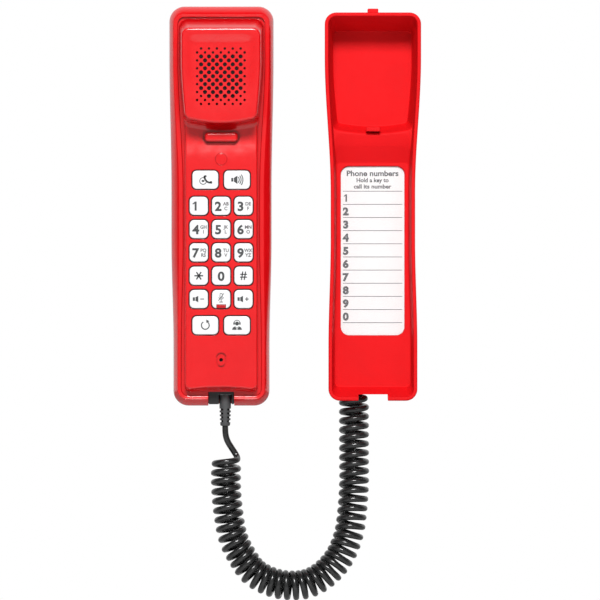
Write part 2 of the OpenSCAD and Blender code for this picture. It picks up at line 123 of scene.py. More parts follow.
def mesh_piece(name, points, faces):
    """A new object from points in millimetres, with its faces turned outwards."""
    mesh = bpy.data.meshes.new(name)
    mesh.from_pydata([tuple(float(c) * MM for c in p) for p in points], [], faces)
    edit(mesh, lambda bm: bmesh.ops.recalc_face_normals(bm, faces=bm.faces))
    return shown(name, mesh)


def shown(name, mesh):
    mesh.name = name
    piece = bpy.data.objects.new(name, mesh)
    bpy.context.scene.collection.objects.link(piece)
    return piece


def apply_modifiers(piece):
    depsgraph = bpy.context.evaluated_depsgraph_get()
    mesh = bpy.data.meshes.new_from_object(piece.evaluated_get(depsgraph))
    piece.modifiers.clear()
    old = piece.data
    piece.data = mesh
    bpy.data.meshes.remove(old)
    mesh.name = piece.name


def combine(piece, tools, operation="DIFFERENCE"):
    """Adds the tools to the piece or cuts them from it, and removes them."""
    for tool in tools:
        step = piece.modifiers.new("join", "BOOLEAN")
        step.operation, step.solver, step.object = operation, "EXACT", tool
        apply_modifiers(piece)
        bpy.data.objects.remove(tool)
    return piece


def merged(name, tools):
    """One object from several that don't touch."""
    mesh = bpy.data.meshes.new(name)

    def gather(bm):
        for tool in tools:
            bm.from_mesh(tool.data)
            bpy.data.objects.remove(tool)

    edit(mesh, gather)
    return shown(name, mesh)


def soften(piece, width, chosen, sharpest=50, segments=2):
    """Rounds the sharp edges whose middle, in millimetres, the test chooses."""
    def bevel(bm):
        edges = [e for e in bm.edges
                 if len(e.link_faces) == 2 and e.calc_face_angle(0) > math.radians(sharpest)
                 and chosen((e.verts[0].co + e.verts[1].co) / 2 / MM)]
        bmesh.ops.bevel(bm, geom=edges, offset=width * MM, offset_type="OFFSET", segments=segments,
                        profile=0.5, affect="EDGES", clamp_overlap=True)

    edit(piece.data, bevel)


def shade(piece, sharp=32):
    """Smooth shading that keeps sharp edges and stays flat on flat faces."""
    piece.data.shade_smooth()
    piece.data.set_sharp_from_angle(angle=math.radians(sharp))
    piece.modifiers.new("normals", "WEIGHTED_NORMAL").keep_sharp = True
    apply_modifiers(piece)


def place(piece, body, slot, material, *nodes, smooth=True):
    """Gives a finished piece its material and body, and hides the CAD nodes that it stands for; the slot is
    not used.
    """
    if smooth:
        shade(piece)
    piece.data.materials.clear()
    piece.data.materials.append(material)
    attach(piece, body)
    if nodes:
        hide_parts(*nodes)
    return piece


# ---- outlines: bottom, top, half width at shoulder, waist and hip, corner radius, bow of the lower edge ----

WAIST_TOP, WAIST_BOTTOM, SHOULDER_Z, HIP_Z = 8.0, -18.0, 80.0, -75.0
CORNER_STEPS, SIDE_STEPS, END_STEPS = 9, 44, 16
BOW_FADE = 12

CRADLE_RIM = np.array([-104.4, 104.4, 25.9, 22.7, 23.9, 6.2, 0])
HANDSET_RIM = np.array([-103.5, 103.7, 25.8, 22.9, 23.4, 5.2, 0])
HANDSET_WIDEST = np.array([-107.1, 107.9, 28.1, 27, 25.9, 8.2, 0])
HANDSET_MOUTH = np.array([-101.8, 101.9, 23.4, 20.5, 21.5, 3.8, 0])
POD_BASE = np.array([43, 101.2, 22.9, 17.6, 17.6, 4.5, 1.6])
POD_FACE = np.array([44.4, 95.6, 21.2, 16.4, 16.4, 4.2, 1.8])
PANEL_BASE = np.array([-99.2, 45, 19.8, 19.8, 19.8, 3.4, -1])
PANEL_FACE = np.array([-97, 45, 19.3, 19.3, 19.3, 2.8, -1])
RIDGE_LEVEL = np.array([-98.8, 99.8, 23, 19.8, 21, 3.8, 0])
RECESS_FLOOR = np.array([43.7, 95.5, 21.35, 16.2, 16.2, 2.6, 1.6])
CRADLE_CAVITY = np.array([-97.4, 97.4, 21.4, 18.3, 19.5, 3.5, 0])


def smooth(t):
    u = min(1.0, max(0.0, t))
    return u * u * (3 - 2 * u)


def half_at(z, s):
    """Half width of an outline at height z."""
    if z > WAIST_TOP:
        return s[3] + (s[2] - s[3]) * smooth((z - WAIST_TOP) / (SHOULDER_Z - WAIST_TOP))
    return s[3] + (s[4] - s[3]) * smooth((WAIST_BOTTOM - z) / (WAIST_BOTTOM - HIP_Z))


def grown(s, dx, dz, dr=None):
    """The same outline, larger by dx on each side, dz at each end and dr in its corner radius."""
    return s + np.array([-dz, dz, dx, dx, dx, min(dx, dz) if dr is None else dr, 0])


def shifted(s, bottom=0.0, top=0.0):
    return s + np.array([bottom, top, 0, 0, 0, 0, 0])


def mixed(s, t, share):
    return s * (1 - share) + t * share


def quarter(steps, last=90):
    """(1 - sine, 1 - cosine) of even angles from 0 to the last, for an edge of radius 1."""
    angles = [math.radians(last * i / steps) for i in range(steps + 1)]
    return [(1 - math.sin(a), 1 - math.cos(a)) for a in angles]


def corner(s, z, start):
    angles = [math.radians(start + 90 * i / CORNER_STEPS) for i in range(CORNER_STEPS + 1)]
    return [(half_at(z, s) + s[5] * (math.cos(a) - 1), z + s[5] * math.sin(a)) for a in angles]


def right_side(s):
    low, high = s[0] + s[5] + s[6], s[1] - s[5]
    between = [low + (high - low) * i / SIDE_STEPS for i in range(1, SIDE_STEPS)]
    return corner(s, low, -90) + [(half_at(z, s), z) for z in between] + corner(s, high, 0)


def ring(s):
    """An outline's points: up the right side, along the top, down the left side and along the bottom."""
    right = right_side(s)
    shares = [1 - 2 * k / END_STEPS for k in range(1, END_STEPS)]
    top = [(u * right[-1][0], right[-1][1]) for u in shares]
    left = [(-x, z) for x, z in reversed(right)]
    bottom = [(-u * right[0][0], s[0] + s[6] * u * u) for u in shares]
    return right + top + left + bottom


SIDE_POINTS = 2 * (CORNER_STEPS + 1) + SIDE_STEPS - 1
RING_POINTS = 2 * SIDE_POINTS + 2 * (END_STEPS - 1)


def across(side):
    """The ring's point on the left that faces point number side on the right."""
    return 2 * SIDE_POINTS + END_STEPS - 2 - side


def skin(count, rings):
    """Faces between rings of count points each."""
    faces = []
    for a in range(0, (rings - 1) * count, count):
        for i in range(count):
            j = (i + 1) % count
            faces.append([a + i, a + j, a + count + j, a + count + i])
    return faces


def closed_skin(count, rings):
    return [list(range(count)), [(rings - 1) * count + i for i in range(count)]] + skin(count, rings)


def ladder_cap(first):
    """Faces that close a ring, each straight from its right side to its left."""
    top = [first + SIDE_POINTS + k for k in range(END_STEPS - 1)]
    bottom = [first + RING_POINTS - END_STEPS + 1 + k for k in range(END_STEPS - 1)]
    faces = []
    for i in range(SIDE_POINTS - 1):
        face = [first + i, first + i + 1]
        if i == SIDE_POINTS - 2:
            face += top
        face += [first + across(i + 1), first + across(i)]
        if i == 0:
            face += bottom
        faces.append(face)
    return faces


def grid_cap(first, s, next_point, depth):
    """Points and faces that close a ring with a grid, whose y is depth(x, z).

    Near a bowed bottom edge the grid's rows follow the bow."""
    ring_points = ring(s)
    points = []
    columns = range(1, END_STEPS)
    rows = [[first + k for k in [across(0)] + [RING_POINTS - END_STEPS + j for j in columns] + [0]]]
    for i in range(1, SIDE_POINTS - 1):
        x, z = ring_points[i]
        near = max(0.0, 1 - (z - s[0]) / BOW_FADE) ** 2
        row = [first + across(i)]
        for j in columns:
            u = 2 * j / END_STEPS - 1
            level = z - s[6] * (1 - u * u) * near
            points.append((u * x, depth(u * x, level), level))
            row.append(next_point + len(points) - 1)
        rows.append(row + [first + i])
    top = SIDE_POINTS + END_STEPS - 1
    last = [across(SIDE_POINTS - 1)] + [top - j for j in columns] + [SIDE_POINTS - 1]
    rows.append([first + k for k in last])
    return points, [[low[j], low[j + 1], high[j + 1], high[j]]
                    for low, high in zip(rows, rows[1:]) for j in range(END_STEPS)]


def loft(name, sections, at=(0.0, 0.0), lift=None, dish=None):
    """A closed solid through outlines, given as (y, outline), at the offset (x, y).

    lift(z) is added to y in full on the first section and less on those behind it, down to nothing on the
    last one. dish(x, z) is the y of the first section's face."""
    points, faces = [], skin(RING_POINTS, len(sections))
    front, back = sections[0][0], sections[-1][0]
    for y, s in sections:
        share = (back - y) / (back - front)
        points += [(x, y + (lift(z) * share if lift else 0), z) for x, z in ring(s)]
    for k, face_y in ((0, dish), (len(sections) - 1, None)):
        y, s = sections[k]
        if face_y or s[6]:
            more, cap = grid_cap(k * RING_POINTS, s, len(points), face_y or (lambda x, z, y=y: y))
            points += more
            faces += cap
        else:
            faces += ladder_cap(k * RING_POINTS)
    return mesh_piece(name, [(x + at[0], y + at[1], z) for x, y, z in points], faces)


def in_handset(name, sections, **more):
    return loft(name, sections, (HANDSET_X, RIM_Y), **more)


def rounded_edge(y, s, radius, steps=5):
    """Sections of a quarter round from a face at y, inset by the radius, out to the outline s behind it."""
    return [(y + radius * back, grown(s, -radius * side, -radius * side)) for side, back in quarter(steps)]


def flared_mouth(y, s, radius, steps=4):
    """Sections of a cutter that rounds the edge of the hole it makes in a face at y."""
    flare = [(y + radius * back, grown(s, radius * side, radius * side)) for side, back in quarter(steps)]
    return [(y - 0.3, grown(s, radius, radius))] + flare


# ---- simple solids ----


def rounded_ring(w, h, r, steps=8):
    """Points of a rounded rectangle about the origin, anticlockwise seen from the front."""
    points = []
    for cx, cz, start in [(1, 1, 0), (-1, 1, 90), (-1, -1, 180), (1, -1, 270)]:
        for i in range(steps + 1):
            a = math.radians(start + 90 * i / steps)
            points.append((cx * (w / 2 - r) + r * math.cos(a), cz * (h / 2 - r) + r * math.sin(a)))
    return points


def circle_ring(r, count=40):
    return [(r * math.cos(math.tau * i / count), r * math.sin(math.tau * i / count)) for i in range(count)]


def rounded_front(front, w, h, r, edge, steps, corner):
    """Rings of a rounded rectangle whose front edge is a quarter round."""
    rings = []
    for side, back in quarter(steps):
        inset = edge * side
        rings.append((front + edge * back, rounded_ring(w - 2 * inset, h - 2 * inset, r - inset, corner)))
    return rings


def stack(name, centre, rings, crown=0.0, crown_rings=3):
    """A closed solid through rings, given as (y, points) from front to back about the centre (x, z).

    crown bulges the front face towards the viewer."""
    front_y, front = rings[0]
    inner = []
    for k in range(crown_rings if crown else 0):
        share = (k + 1) / (crown_rings + 1)
        inner.append((front_y - crown * (1 - share ** 2), [(x * share, z * share) for x, z in front]))
    every = inner + rings
    points = [(x + centre[0], y, z + centre[1]) for y, r in every for x, z in r]
    return mesh_piece(name, points, closed_skin(len(front), len(every)))


def rod(name, x, z, r, front, back, count=32):
    return stack(name, (x, z), [(front, circle_ring(r, count)), (back, circle_ring(r, count))])


def turned(name, x, z, front, levels, count):
    """A round solid through (depth behind the front, radius) levels."""
    return stack(name, (x, z), [(front + y, circle_ring(r, count)) for y, r in levels])


def block(name, x, y, z, radius=0.0):
    """A box between the given limits, with rounded edges if a radius is given."""
    mesh = bpy.data.meshes.new(name)

    def build(bm):
        bmesh.ops.create_cube(bm, size=1)
        for v in bm.verts:
            v.co = [(low + high) / 2 * MM + c * (high - low) * MM for c, (low, high) in zip(v.co, (x, y, z))]
        if radius:
            bmesh.ops.bevel(bm, geom=bm.edges[:], offset=radius * MM, segments=3, profile=0.5, affect="EDGES")

    edit(mesh, build)
    return shown(name, mesh)


# ---- materials ----


def new_material(name, color, roughness, **sockets):
    material = bpy.data.materials.new(name)
    material.use_nodes = True
    shader = material.node_tree.nodes["Principled BSDF"]
    shader.inputs["Base Color"].default_value = (*color, 1)
    shader.inputs["Roughness"].default_value = roughness
    for socket, value in sockets.items():
        shader.inputs[socket.replace("_", " ")].default_value = value
    return material, material.node_tree, shader


def add(tree, kind, sources=None, **values):
    """A new shader node, with inputs linked to sources or set to values, by name."""
    node = tree.nodes.new("ShaderNode" + kind)
    for socket, value in values.items():
        node.inputs[socket.replace("_", " ")].default_value = value
    for socket, source in (sources or {}).items():
        tree.links.new(source, node.inputs[socket])
    return node


def object_place(tree):
    return add(tree, "TexCoord").outputs["Object"]


def noise(tree, scale, detail=2.0, stretch=(1, 1, 1)):
    """A noise texture fixed to the piece; its scale is in waves per metre."""
    turn = add(tree, "Mapping", {"Vector": object_place(tree)}, Scale=stretch)
    waves = add(tree, "TexNoise", {"Vector": turn.outputs["Vector"]}, Scale=scale, Detail=detail)
    return waves.outputs["Fac"]


def spread(tree, source, low, high, start=0.3, end=0.7):
    """Maps start to end onto low to high. Most of a noise lies between 0.3 and 0.7."""
    return add(tree, "MapRange", {"Value": source}, From_Min=start, From_Max=end, To_Min=low,
               To_Max=high).outputs["Result"]


def tint(tree, shader, source, first, second):
    """Base colour from the first colour, or a node's, to the second, by a value from 0 to 1."""
    mix = tree.nodes.new("ShaderNodeMix")
    mix.data_type = "RGBA"
    mix.inputs["B"].default_value = (*second, 1)
    if isinstance(first, bpy.types.NodeSocket):
        tree.links.new(first, mix.inputs["A"])
    else:
        mix.inputs["A"].default_value = (*first, 1)
    tree.links.new(source, mix.inputs["Factor"])
    tree.links.new(mix.outputs["Result"], shader.inputs["Base Color"])


def bump(tree, shader, source, height):
    """Bump from a value, whose full range stands for the height in metres."""
    step = add(tree, "Bump", {"Height": source}, Distance=height, Strength=1.0)
    tree.links.new(step.outputs["Normal"], shader.inputs["Normal"])


def moulded(name, color, roughness, grain=900, height=0.00001, vary=0.06, shift=0.06, **sockets):
    """Moulded plastic or rubber: a little uneven in colour and gloss, with a fine grain."""
    material, tree, shader = new_material(name, color, roughness, **sockets)
    tint(tree, shader, spread(tree, noise(tree, 60, 3), 0, 1), [c * (1 - shift) for c in color], color)
    tree.links.new(spread(tree, noise(tree, 240, 3), roughness - vary / 2, roughness + vary / 2),
                   shader.inputs["Roughness"])
    bump(tree, shader, noise(tree, grain, 2), height)
    return material


def dark_behind_face(name, color, gap_shade, edge_y, reach, **looks):
    """Moulded plastic that turns to a dark colour behind edge_y: painted shade for the gaps round the keys.
    The two meet over the reach.
    """
    material = moulded(name, color, **looks)
    tree = material.node_tree
    shader = tree.nodes["Principled BSDF"]
    split = add(tree, "SeparateXYZ", {"Vector": object_place(tree)})
    behind = spread(tree, split.outputs["Y"], 0, 1, edge_y * MM, (edge_y + reach) * MM)
    tint(tree, shader, behind, shader.inputs["Base Color"].links[0].from_socket, gap_shade)
    return material


def woven(name, color, pitch, height):
    """Plain weave of threads that cross over and under each other."""
    material, tree, shader = new_material(name, color, 0.85, Specular_IOR_Level=0.2)
    over = tree.nodes.new("ShaderNodeMath")
    over.operation = "MAXIMUM"
    for direction, value in zip("XZ", over.inputs):
        wave = add(tree, "TexWave", {"Vector": object_place(tree)}, Scale=math.tau / pitch / 20)
        wave.bands_direction = direction
        tree.links.new(wave.outputs["Fac"], value)
    tint(tree, shader, over.outputs["Value"], [c * 0.4 for c in color], color)
    bump(tree, shader, over.outputs["Value"], height)
    return material


def brushed(name, color):
    """Plated steel with fine lines across it."""
    material, tree, shader = new_material(name, color, 0.3, Metallic=1.0)
    lines = noise(tree, 500, 3, (1, 1, 14))
    tree.links.new(spread(tree, lines, 0.22, 0.42), shader.inputs["Roughness"])
    bump(tree, shader, lines, 0.000004)
    return material


def circuit(name):
    """Green solder mask over copper tracks."""
    material, tree, shader = new_material(name, (0.02, 0.16, 0.07), 0.32)
    turn = add(tree, "Mapping", {"Vector": object_place(tree)}, Rotation=(math.radians(90), 0, 0))
    tracks = add(tree, "TexBrick", {"Vector": turn.outputs["Vector"]}, Scale=160, Mortar_Size=0.03,
                 Color1=(0.015, 0.15, 0.06, 1), Color2=(0.02, 0.17, 0.075, 1), Mortar=(0.05, 0.3, 0.12, 1))
    tree.links.new(tracks.outputs["Color"], shader.inputs["Base Color"])
    bump(tree, shader, tracks.outputs["Fac"], 0.00003)
    return material


def clear(name, color, alpha, roughness):
    """Clear plastic, with faint wipe marks in its gloss."""
    material, tree, shader = new_material(name, color, roughness, Alpha=alpha)
    tree.links.new(spread(tree, noise(tree, 90, 3), roughness, roughness + 0.1), shader.inputs["Roughness"])
    bump(tree, shader, noise(tree, 120, 2), 0.000004)
    return material


RED = (0.6, 0.0025, 0.005)
red_plastic = moulded("red_plastic", RED, 0.2, Coat_Weight=0.25, Coat_Roughness=0.08)
red_satin = moulded("red_satin", RED, 0.64, height=0.000014, Specular_IOR_Level=0.14)
# painted shade: behind the keypad face the keys turn dark red, standing for the shade in the gaps round them
key_plastic = dark_behind_face("key_plastic", (0.66, 0.665, 0.67), (0.05, 0.004, 0.006), RIM_Y - PANEL_RISE - 0.1,
                       0.35, roughness=0.3, shift=0.02)
red_lens = moulded("red_lens", (0.4, 0.002, 0.006), 0.16, shift=0.1, Coat_Weight=0.3)
black_plastic = moulded("black_plastic", (0.012, 0.012, 0.013), 0.3)
cord_rubber = moulded("cord_rubber", (0.012, 0.0122, 0.0125), 0.24, grain=1500, height=0.00001, vary=0.1)
# near black, darker than the cord: the cord's sheath inside the boot, and painted shade in the boot's slits
sheath_and_slit_shade = moulded("sheath_and_slit_shade", (0.002, 0.002, 0.002), 0.7, Specular_IOR_Level=0.1)
boot_rubber = moulded("boot_rubber", (0.045, 0.046, 0.048), 0.5, grain=1200, height=0.00003, vary=0.1)
silicone = moulded("silicone", (0.6, 0.61, 0.58), 0.55)
foam = moulded("foam", (0.02, 0.02, 0.022), 0.9, grain=2500, height=0.0001)
wire_skin = moulded("wire_skin", (0.5, 0.02, 0.02), 0.35)
paper = moulded("paper", (0.64, 0.64, 0.635), 0.75, grain=3000, height=0.00002, shift=0.03)
ink = moulded("ink", (0.035, 0.037, 0.039), 0.5, shift=0.2)
pale_ink = moulded("pale_ink", (0.09, 0.08, 0.085), 0.5, shift=0.15)
dust_cloth = woven("dust_cloth", (0.012, 0.006, 0.006), 0.0006, 0.00008)
steel = brushed("steel", (0.62, 0.62, 0.64))
solder_mask = circuit("solder_mask")
clear_window = clear("clear_window", (0.9, 0.95, 1.0), 0.04, 0.04)
clear_plug = clear("clear_plug", (0.8, 0.83, 0.85), 0.55, 0.08)

SLOT_MATERIALS = {
    "red_plastic": red_plastic, "white_key": key_plastic, "red_lens": red_lens, "steel": steel,
    "black_plastic": black_plastic, "cord_black": cord_rubber, "clear_plug": clear_plug, "foam": foam,
    "clear_plastic": clear_window, "card_paper": paper, "silicone": silicone, "cloth": dust_cloth,
    "circuit_board": solder_mask, "wire_red": wire_skin,
}
for part in frame["record"]["subparts"]:
    held = frame["nodes"][part["node"]].data.materials
    held.clear()
    held.append(SLOT_MATERIALS[part["material_slot"]])

# ---- the curly cord: out of the cradle's plug, round the coil's route, and up the lead to the handset ----

CORD_D = 3.3
COIL_R = 6.55
COIL_ROUTE = [
    (-10, -11, -102), (-10, -11, -118), (-10, -12, -134), (-10, -13, -149), (-11, -15, -164),
    (-13, -17, -177), (-18, -19, -189), (-26, -21, -198), (-35, -22, -203), (-45, -23, -204),
    (-55, -23, -202), (-64, -23.5, -197), (-70, -23.5, -189), (-75, -23.5, -179), (-77.5, -23.5, -167),
    (-79, -23.5, -152), (-79, -23.5, -136)]
LEAD_ROUTE = [
    (-72.5, -23.5, -136), (-72.9, -22.2, -134.9), (-74.4, -21.8, -132.4), (-76.4, -22.3, -129.4),
    (-78.3, -23.1, -126.4), (-79.3, -23.5, -123.4), (-79.5, -23.5, -120.5), (-79.5, -23.5, -117)]
ARM_PITCH, BEND_PITCH = 4.95, 4.2  # from turn to turn, on the coil's two arms and in its bend
BEND_TOP, BEND_FADE = -175, 15
POINTS_PER_TURN = 20
LAST_PART = 0.75  # of a turn, where the lead leaves the coil
OPENING_TURNS = 0.3
CORD_SIDES = 12
EASE_STEP = 1.0
EASED_START, EASED_END = 14, 15  # points of the coil


def spline(route, steps):
    """Points of a smooth curve through the route's points."""
    p = [np.array(q, float) for q in route]
    points = []
    for i in range(len(p) - 1):
        a, b, c, d = p[max(0, i - 1)], p[i], p[i + 1], p[min(len(p) - 1, i + 2)]
        for k in range(steps):
            t = k / steps
            points.append(0.5 * (2 * b + (c - a) * t + (2 * a - 5 * b + 4 * c - d) * t**2
                                 + (3 * b - a - 3 * c + d) * t**3))
    return np.array(points + [p[-1]])


def coil_line():
    """The centre line of the cord: a right-handed helix round the coil's route that ends at the lead."""
    axis = spline(COIL_ROUTE, 40)
    steps = np.linalg.norm(np.diff(axis, axis=0), axis=1)
    along = np.concatenate([[0], np.cumsum(steps)])
    bend = np.clip((BEND_TOP - axis[:, 2]) / BEND_FADE, 0, 1)
    pitch = ARM_PITCH + (BEND_PITCH - ARM_PITCH) * bend
    turns = np.concatenate([[0], np.cumsum(steps / ((pitch[1:] + pitch[:-1]) / 2))])
    total = round(turns[-1] - LAST_PART) + LAST_PART
    turns *= total / turns[-1]
    count = int(total * POINTS_PER_TURN)
    at_turn = np.linspace(0, total, count)
    where = np.interp(at_turn, turns, along)
    centre = np.column_stack([np.interp(where, along, axis[:, k]) for k in range(3)])
    ahead = np.gradient(centre, axis=0)
    ahead /= np.linalg.norm(ahead, axis=1)[:, None]
    side = np.cross((0, 1, 0), ahead)
    side /= np.linalg.norm(side, axis=1)[:, None]
    up = np.cross(ahead, side)
    turn = math.tau * (at_turn - total)
    opening = np.array([smooth(t / OPENING_TURNS) for t in at_turn])
    return centre + COIL_R * opening[:, None] * (np.cos(turn)[:, None] * side + np.sin(turn)[:, None] * up)


def eased(line, passes):
    """The same path at even steps, each point averaged with its neighbours, which opens out tight spots."""
    along = np.concatenate([[0], np.cumsum(np.linalg.norm(np.diff(line, axis=0), axis=1))])
    at = np.linspace(0, along[-1], int(round(along[-1] / EASE_STEP)) + 1)
    points = np.column_stack([np.interp(at, along, line[:, k]) for k in range(3)])
    for _ in range(passes):
        points[1:-1] = (points[:-2] + 2 * points[1:-1] + points[2:]) / 4
    return points


def tube(name, line, radius, sides):
    """A round tube along the line, with closed ends."""
    ahead = np.gradient(line, axis=0)
    ahead /= np.linalg.norm(ahead, axis=1)[:, None]
    side = np.cross(ahead[0], (0.3, 1, 0.2))
    points = []
    for at, t in zip(line, ahead):
        side = side - t * (side @ t)
        side /= np.linalg.norm(side)
        up = np.cross(t, side)
        for k in range(sides):
            a = math.tau * k / sides
            points.append(at + radius * (math.cos(a) * side + math.sin(a) * up))
    return mesh_piece(name, points, closed_skin(sides, len(line)))


def make_cord():
    coil = coil_line()
    lead = spline(LEAD_ROUTE, 8)
    line = np.concatenate([eased(coil[:EASED_START], 4), coil[EASED_START:-EASED_END],
                           eased(np.concatenate([coil[-EASED_END:-1], lead]), 8)])
    cord = tube("curly_cord", line, CORD_D / 2, CORD_SIDES)
    cord.data.shade_smooth()
    cord.data.materials.append(cord_rubber)
    length = float(np.linalg.norm(np.diff(line, axis=0), axis=1).sum()) * MM
    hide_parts("cord_lead", "cord_coil")
    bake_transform(cord)
    return cord, line, length


cord, cord_line, cord_length = make_cord()

# ---- handset: rear shell ----

WIDEST_DEPTH = 7.0
HANDSET_DEPTH = node_box("handset_rear_shell")[1][1] - RIM_Y
BACK_EDGE = 8.0
RIM_SLOPE = 0.25
RIM_ROUND = 0.45
FLANK_BEND = 1.6
NOTCH_X = (-7.1, 6.9)
REAR_SCREWS = [(0, 90.5), (-12, -88), (12, -88)]


def handset_block(name, x, y, z, radius=0.0):
    return block(name, [c + HANDSET_X for c in x], [c + RIM_Y for c in y], z, radius)


def handset_rod(name, x, z, r, front, back, count=32):
    return rod(name, x + HANDSET_X, z, r, front + RIM_Y, back + RIM_Y, count)


def bowl(depth, wide, narrow, steps):
    """Sections from the widest outline, round to the narrow one at that depth."""
    return [(WIDEST_DEPTH + (depth - WIDEST_DEPTH) * (1 - side), mixed(wide, narrow, back))
            for side, back in quarter(steps)]


def make_rear_shell():
    back_out = grown(HANDSET_WIDEST, -BACK_EDGE, -BACK_EDGE, -3)
    mouth_in = grown(HANDSET_MOUTH, -1.2, -1.2)
    inside = grown(HANDSET_WIDEST, -2.2, -2.2), grown(back_out, -0.6, -0.6)
    sections = bowl(HANDSET_DEPTH - 2, *inside, 8)[::-1]
    sections += [(LEDGE + 1.4, mouth_in), (LEDGE, mouth_in), (LEDGE, HANDSET_MOUTH)]
    for side, back in quarter(5, 84):
        out = RIM_ROUND * back
        sections.append((RIM_SLOPE + RIM_ROUND * side, grown(HANDSET_MOUTH, out, out)))
    sections += [(0.06, grown(HANDSET_RIM, -0.35, -0.35)), (0, grown(HANDSET_RIM, -0.15, -0.15)),
                 (0.08, grown(HANDSET_RIM, -0.02, -0.02))]
    for i in range(1, 15):
        t = 0.02 + 0.98 * i / 14
        sections.append((WIDEST_DEPTH * t, mixed(HANDSET_RIM, HANDSET_WIDEST, 1 - (1 - t) ** FLANK_BEND)))
    sections += bowl(HANDSET_DEPTH, HANDSET_WIDEST, back_out, 14)[1:]
    shell = in_handset("handset_rear_case", sections)
    holes = [handset_rod("tool", x, z, 2.9, 14, HANDSET_DEPTH + 1) for x, z in REAR_SCREWS]
    combine(shell, [merged("tool", holes), handset_block("tool", NOTCH_X, (-1, 12.4), (-112, -99))])
    soften(shell, 0.35, lambda p: p.y > RIM_Y + HANDSET_DEPTH - 0.01 and abs(p.z) < 95)
    soften(shell, 0.3, lambda p: p.z < -102.2 and abs(p.x - HANDSET_X) < 7.2)
    place(shell, "handset", "red_plastic", red_plastic, "handset_rear_shell")


make_rear_shell()

# ---- handset: front shell with keypad face, valley and earpiece pod ----

VALLEY_START, VALLEY_BOTTOM = 24.5, 38.0
FILLET = 3.2  # where the pod rises from the valley
POD_EDGE, POD_FOOT = 1.5, 2.5
HOOK_Z = node_centre("hook_plunger")[2]
HOOK_LOW, HOOK_HIGH = node_box("hook_plunger")
SPRING_WIRE_R = 0.25
SPRING_TURNS = 5
PLUNGER_W, PLUNGER_H, PLUNGER_R = 17.7, 5.05, 1.9
LAMP_Z = node_centre("message_lamp")[2]
LAMP_R = 3.15
MIC_Z = node_centre("microphone")[2]
GRILLE_Z = 69.4
GRILLE_ROWS, GRILLE_X, GRILLE_PITCH = 15, 4.23, 2.12
HOLE_R, SMALL_HOLE_R = 1.1, 0.68
DISH_DEPTH = 1.3
KEY_GAP = 0.6
KEY_FLANGE = 0.75  # wider than the cap on each side


def valley(z):
    """How far the keypad face falls back at height z."""
    return (PANEL_RISE - VALLEY_RISE) * smooth((z - VALLEY_START) / (VALLEY_BOTTOM - VALLEY_START))


def pod_dish(x, z):
    """The pod's face: a shallow dish with a soft edge, deepest above the middle."""
    half = half_at(z, POD_FACE)
    side = smooth((half - abs(x) - 1.2) / 6.5)
    end = smooth((POD_FACE[1] - z - 2.6) / 6.5) * smooth((z - POD_FACE[0] - 2) / 26)
    return -POD_RISE + DISH_DEPTH * side * end


def pod_sections():
    front, floor = POD_EDGE - POD_RISE, -VALLEY_RISE
    levels = [(front + (floor - FILLET - front) * i / 4, 0) for i in range(1, 5)]
    levels += [(floor - FILLET * side, FILLET * back) for side, back in quarter(7)[1:]]
    sections = rounded_edge(-POD_RISE, POD_FACE, POD_EDGE, 7)
    for y, flare in levels:
        s = mixed(POD_FACE, POD_BASE, (y - front) / (POD_FOOT - front))
        sections.append((y, shifted(s, bottom=-flare)))
    return sections + [(POD_FOOT, shifted(POD_BASE, bottom=-FILLET))]


def key_half(node):
    low, high = node_box(node)
    return (high[0] - low[0]) / 2 - KEY_FLANGE, (high[2] - low[2]) / 2 - KEY_FLANGE


def grille_tools():
    """The grille's holes: rows of six and seven in turn, small in the end rows and at most rows' ends."""
    tools = []
    for k in range(GRILLE_ROWS):
        count = 6 + k % 2
        for i in range(count):
            end = i in (0, count - 1) and (count == 7 or k == 12)
            r = SMALL_HOLE_R if end or k < 2 or k > GRILLE_ROWS - 3 else HOLE_R
            x = (i - (count - 1) / 2) * GRILLE_X
            z = GRILLE_Z + ((GRILLE_ROWS - 1) / 2 - k) * GRILLE_PITCH
            tools.append(handset_rod("tool", x, z, r, -POD_RISE - 1, -POD_RISE + WALL + 2, 20))
    return merged("tool", tools)


def face_tool(x, z, w, h, r, front, back, steps=8):
    """A rounded rectangular cutter through the keypad face, at (x, z) in the row frame."""
    shape = rounded_ring(w, h, r, steps)
    return stack("tool", (x, z), [(front + RIM_Y, shape), (back + RIM_Y, shape)])


def hollow(y, front, back):
    """A cutter for the inside of the case, from an outline at y back to one behind the ledge."""
    return in_handset("tool", [(y, np.array(front)), (LEDGE + 1, np.array(back))])


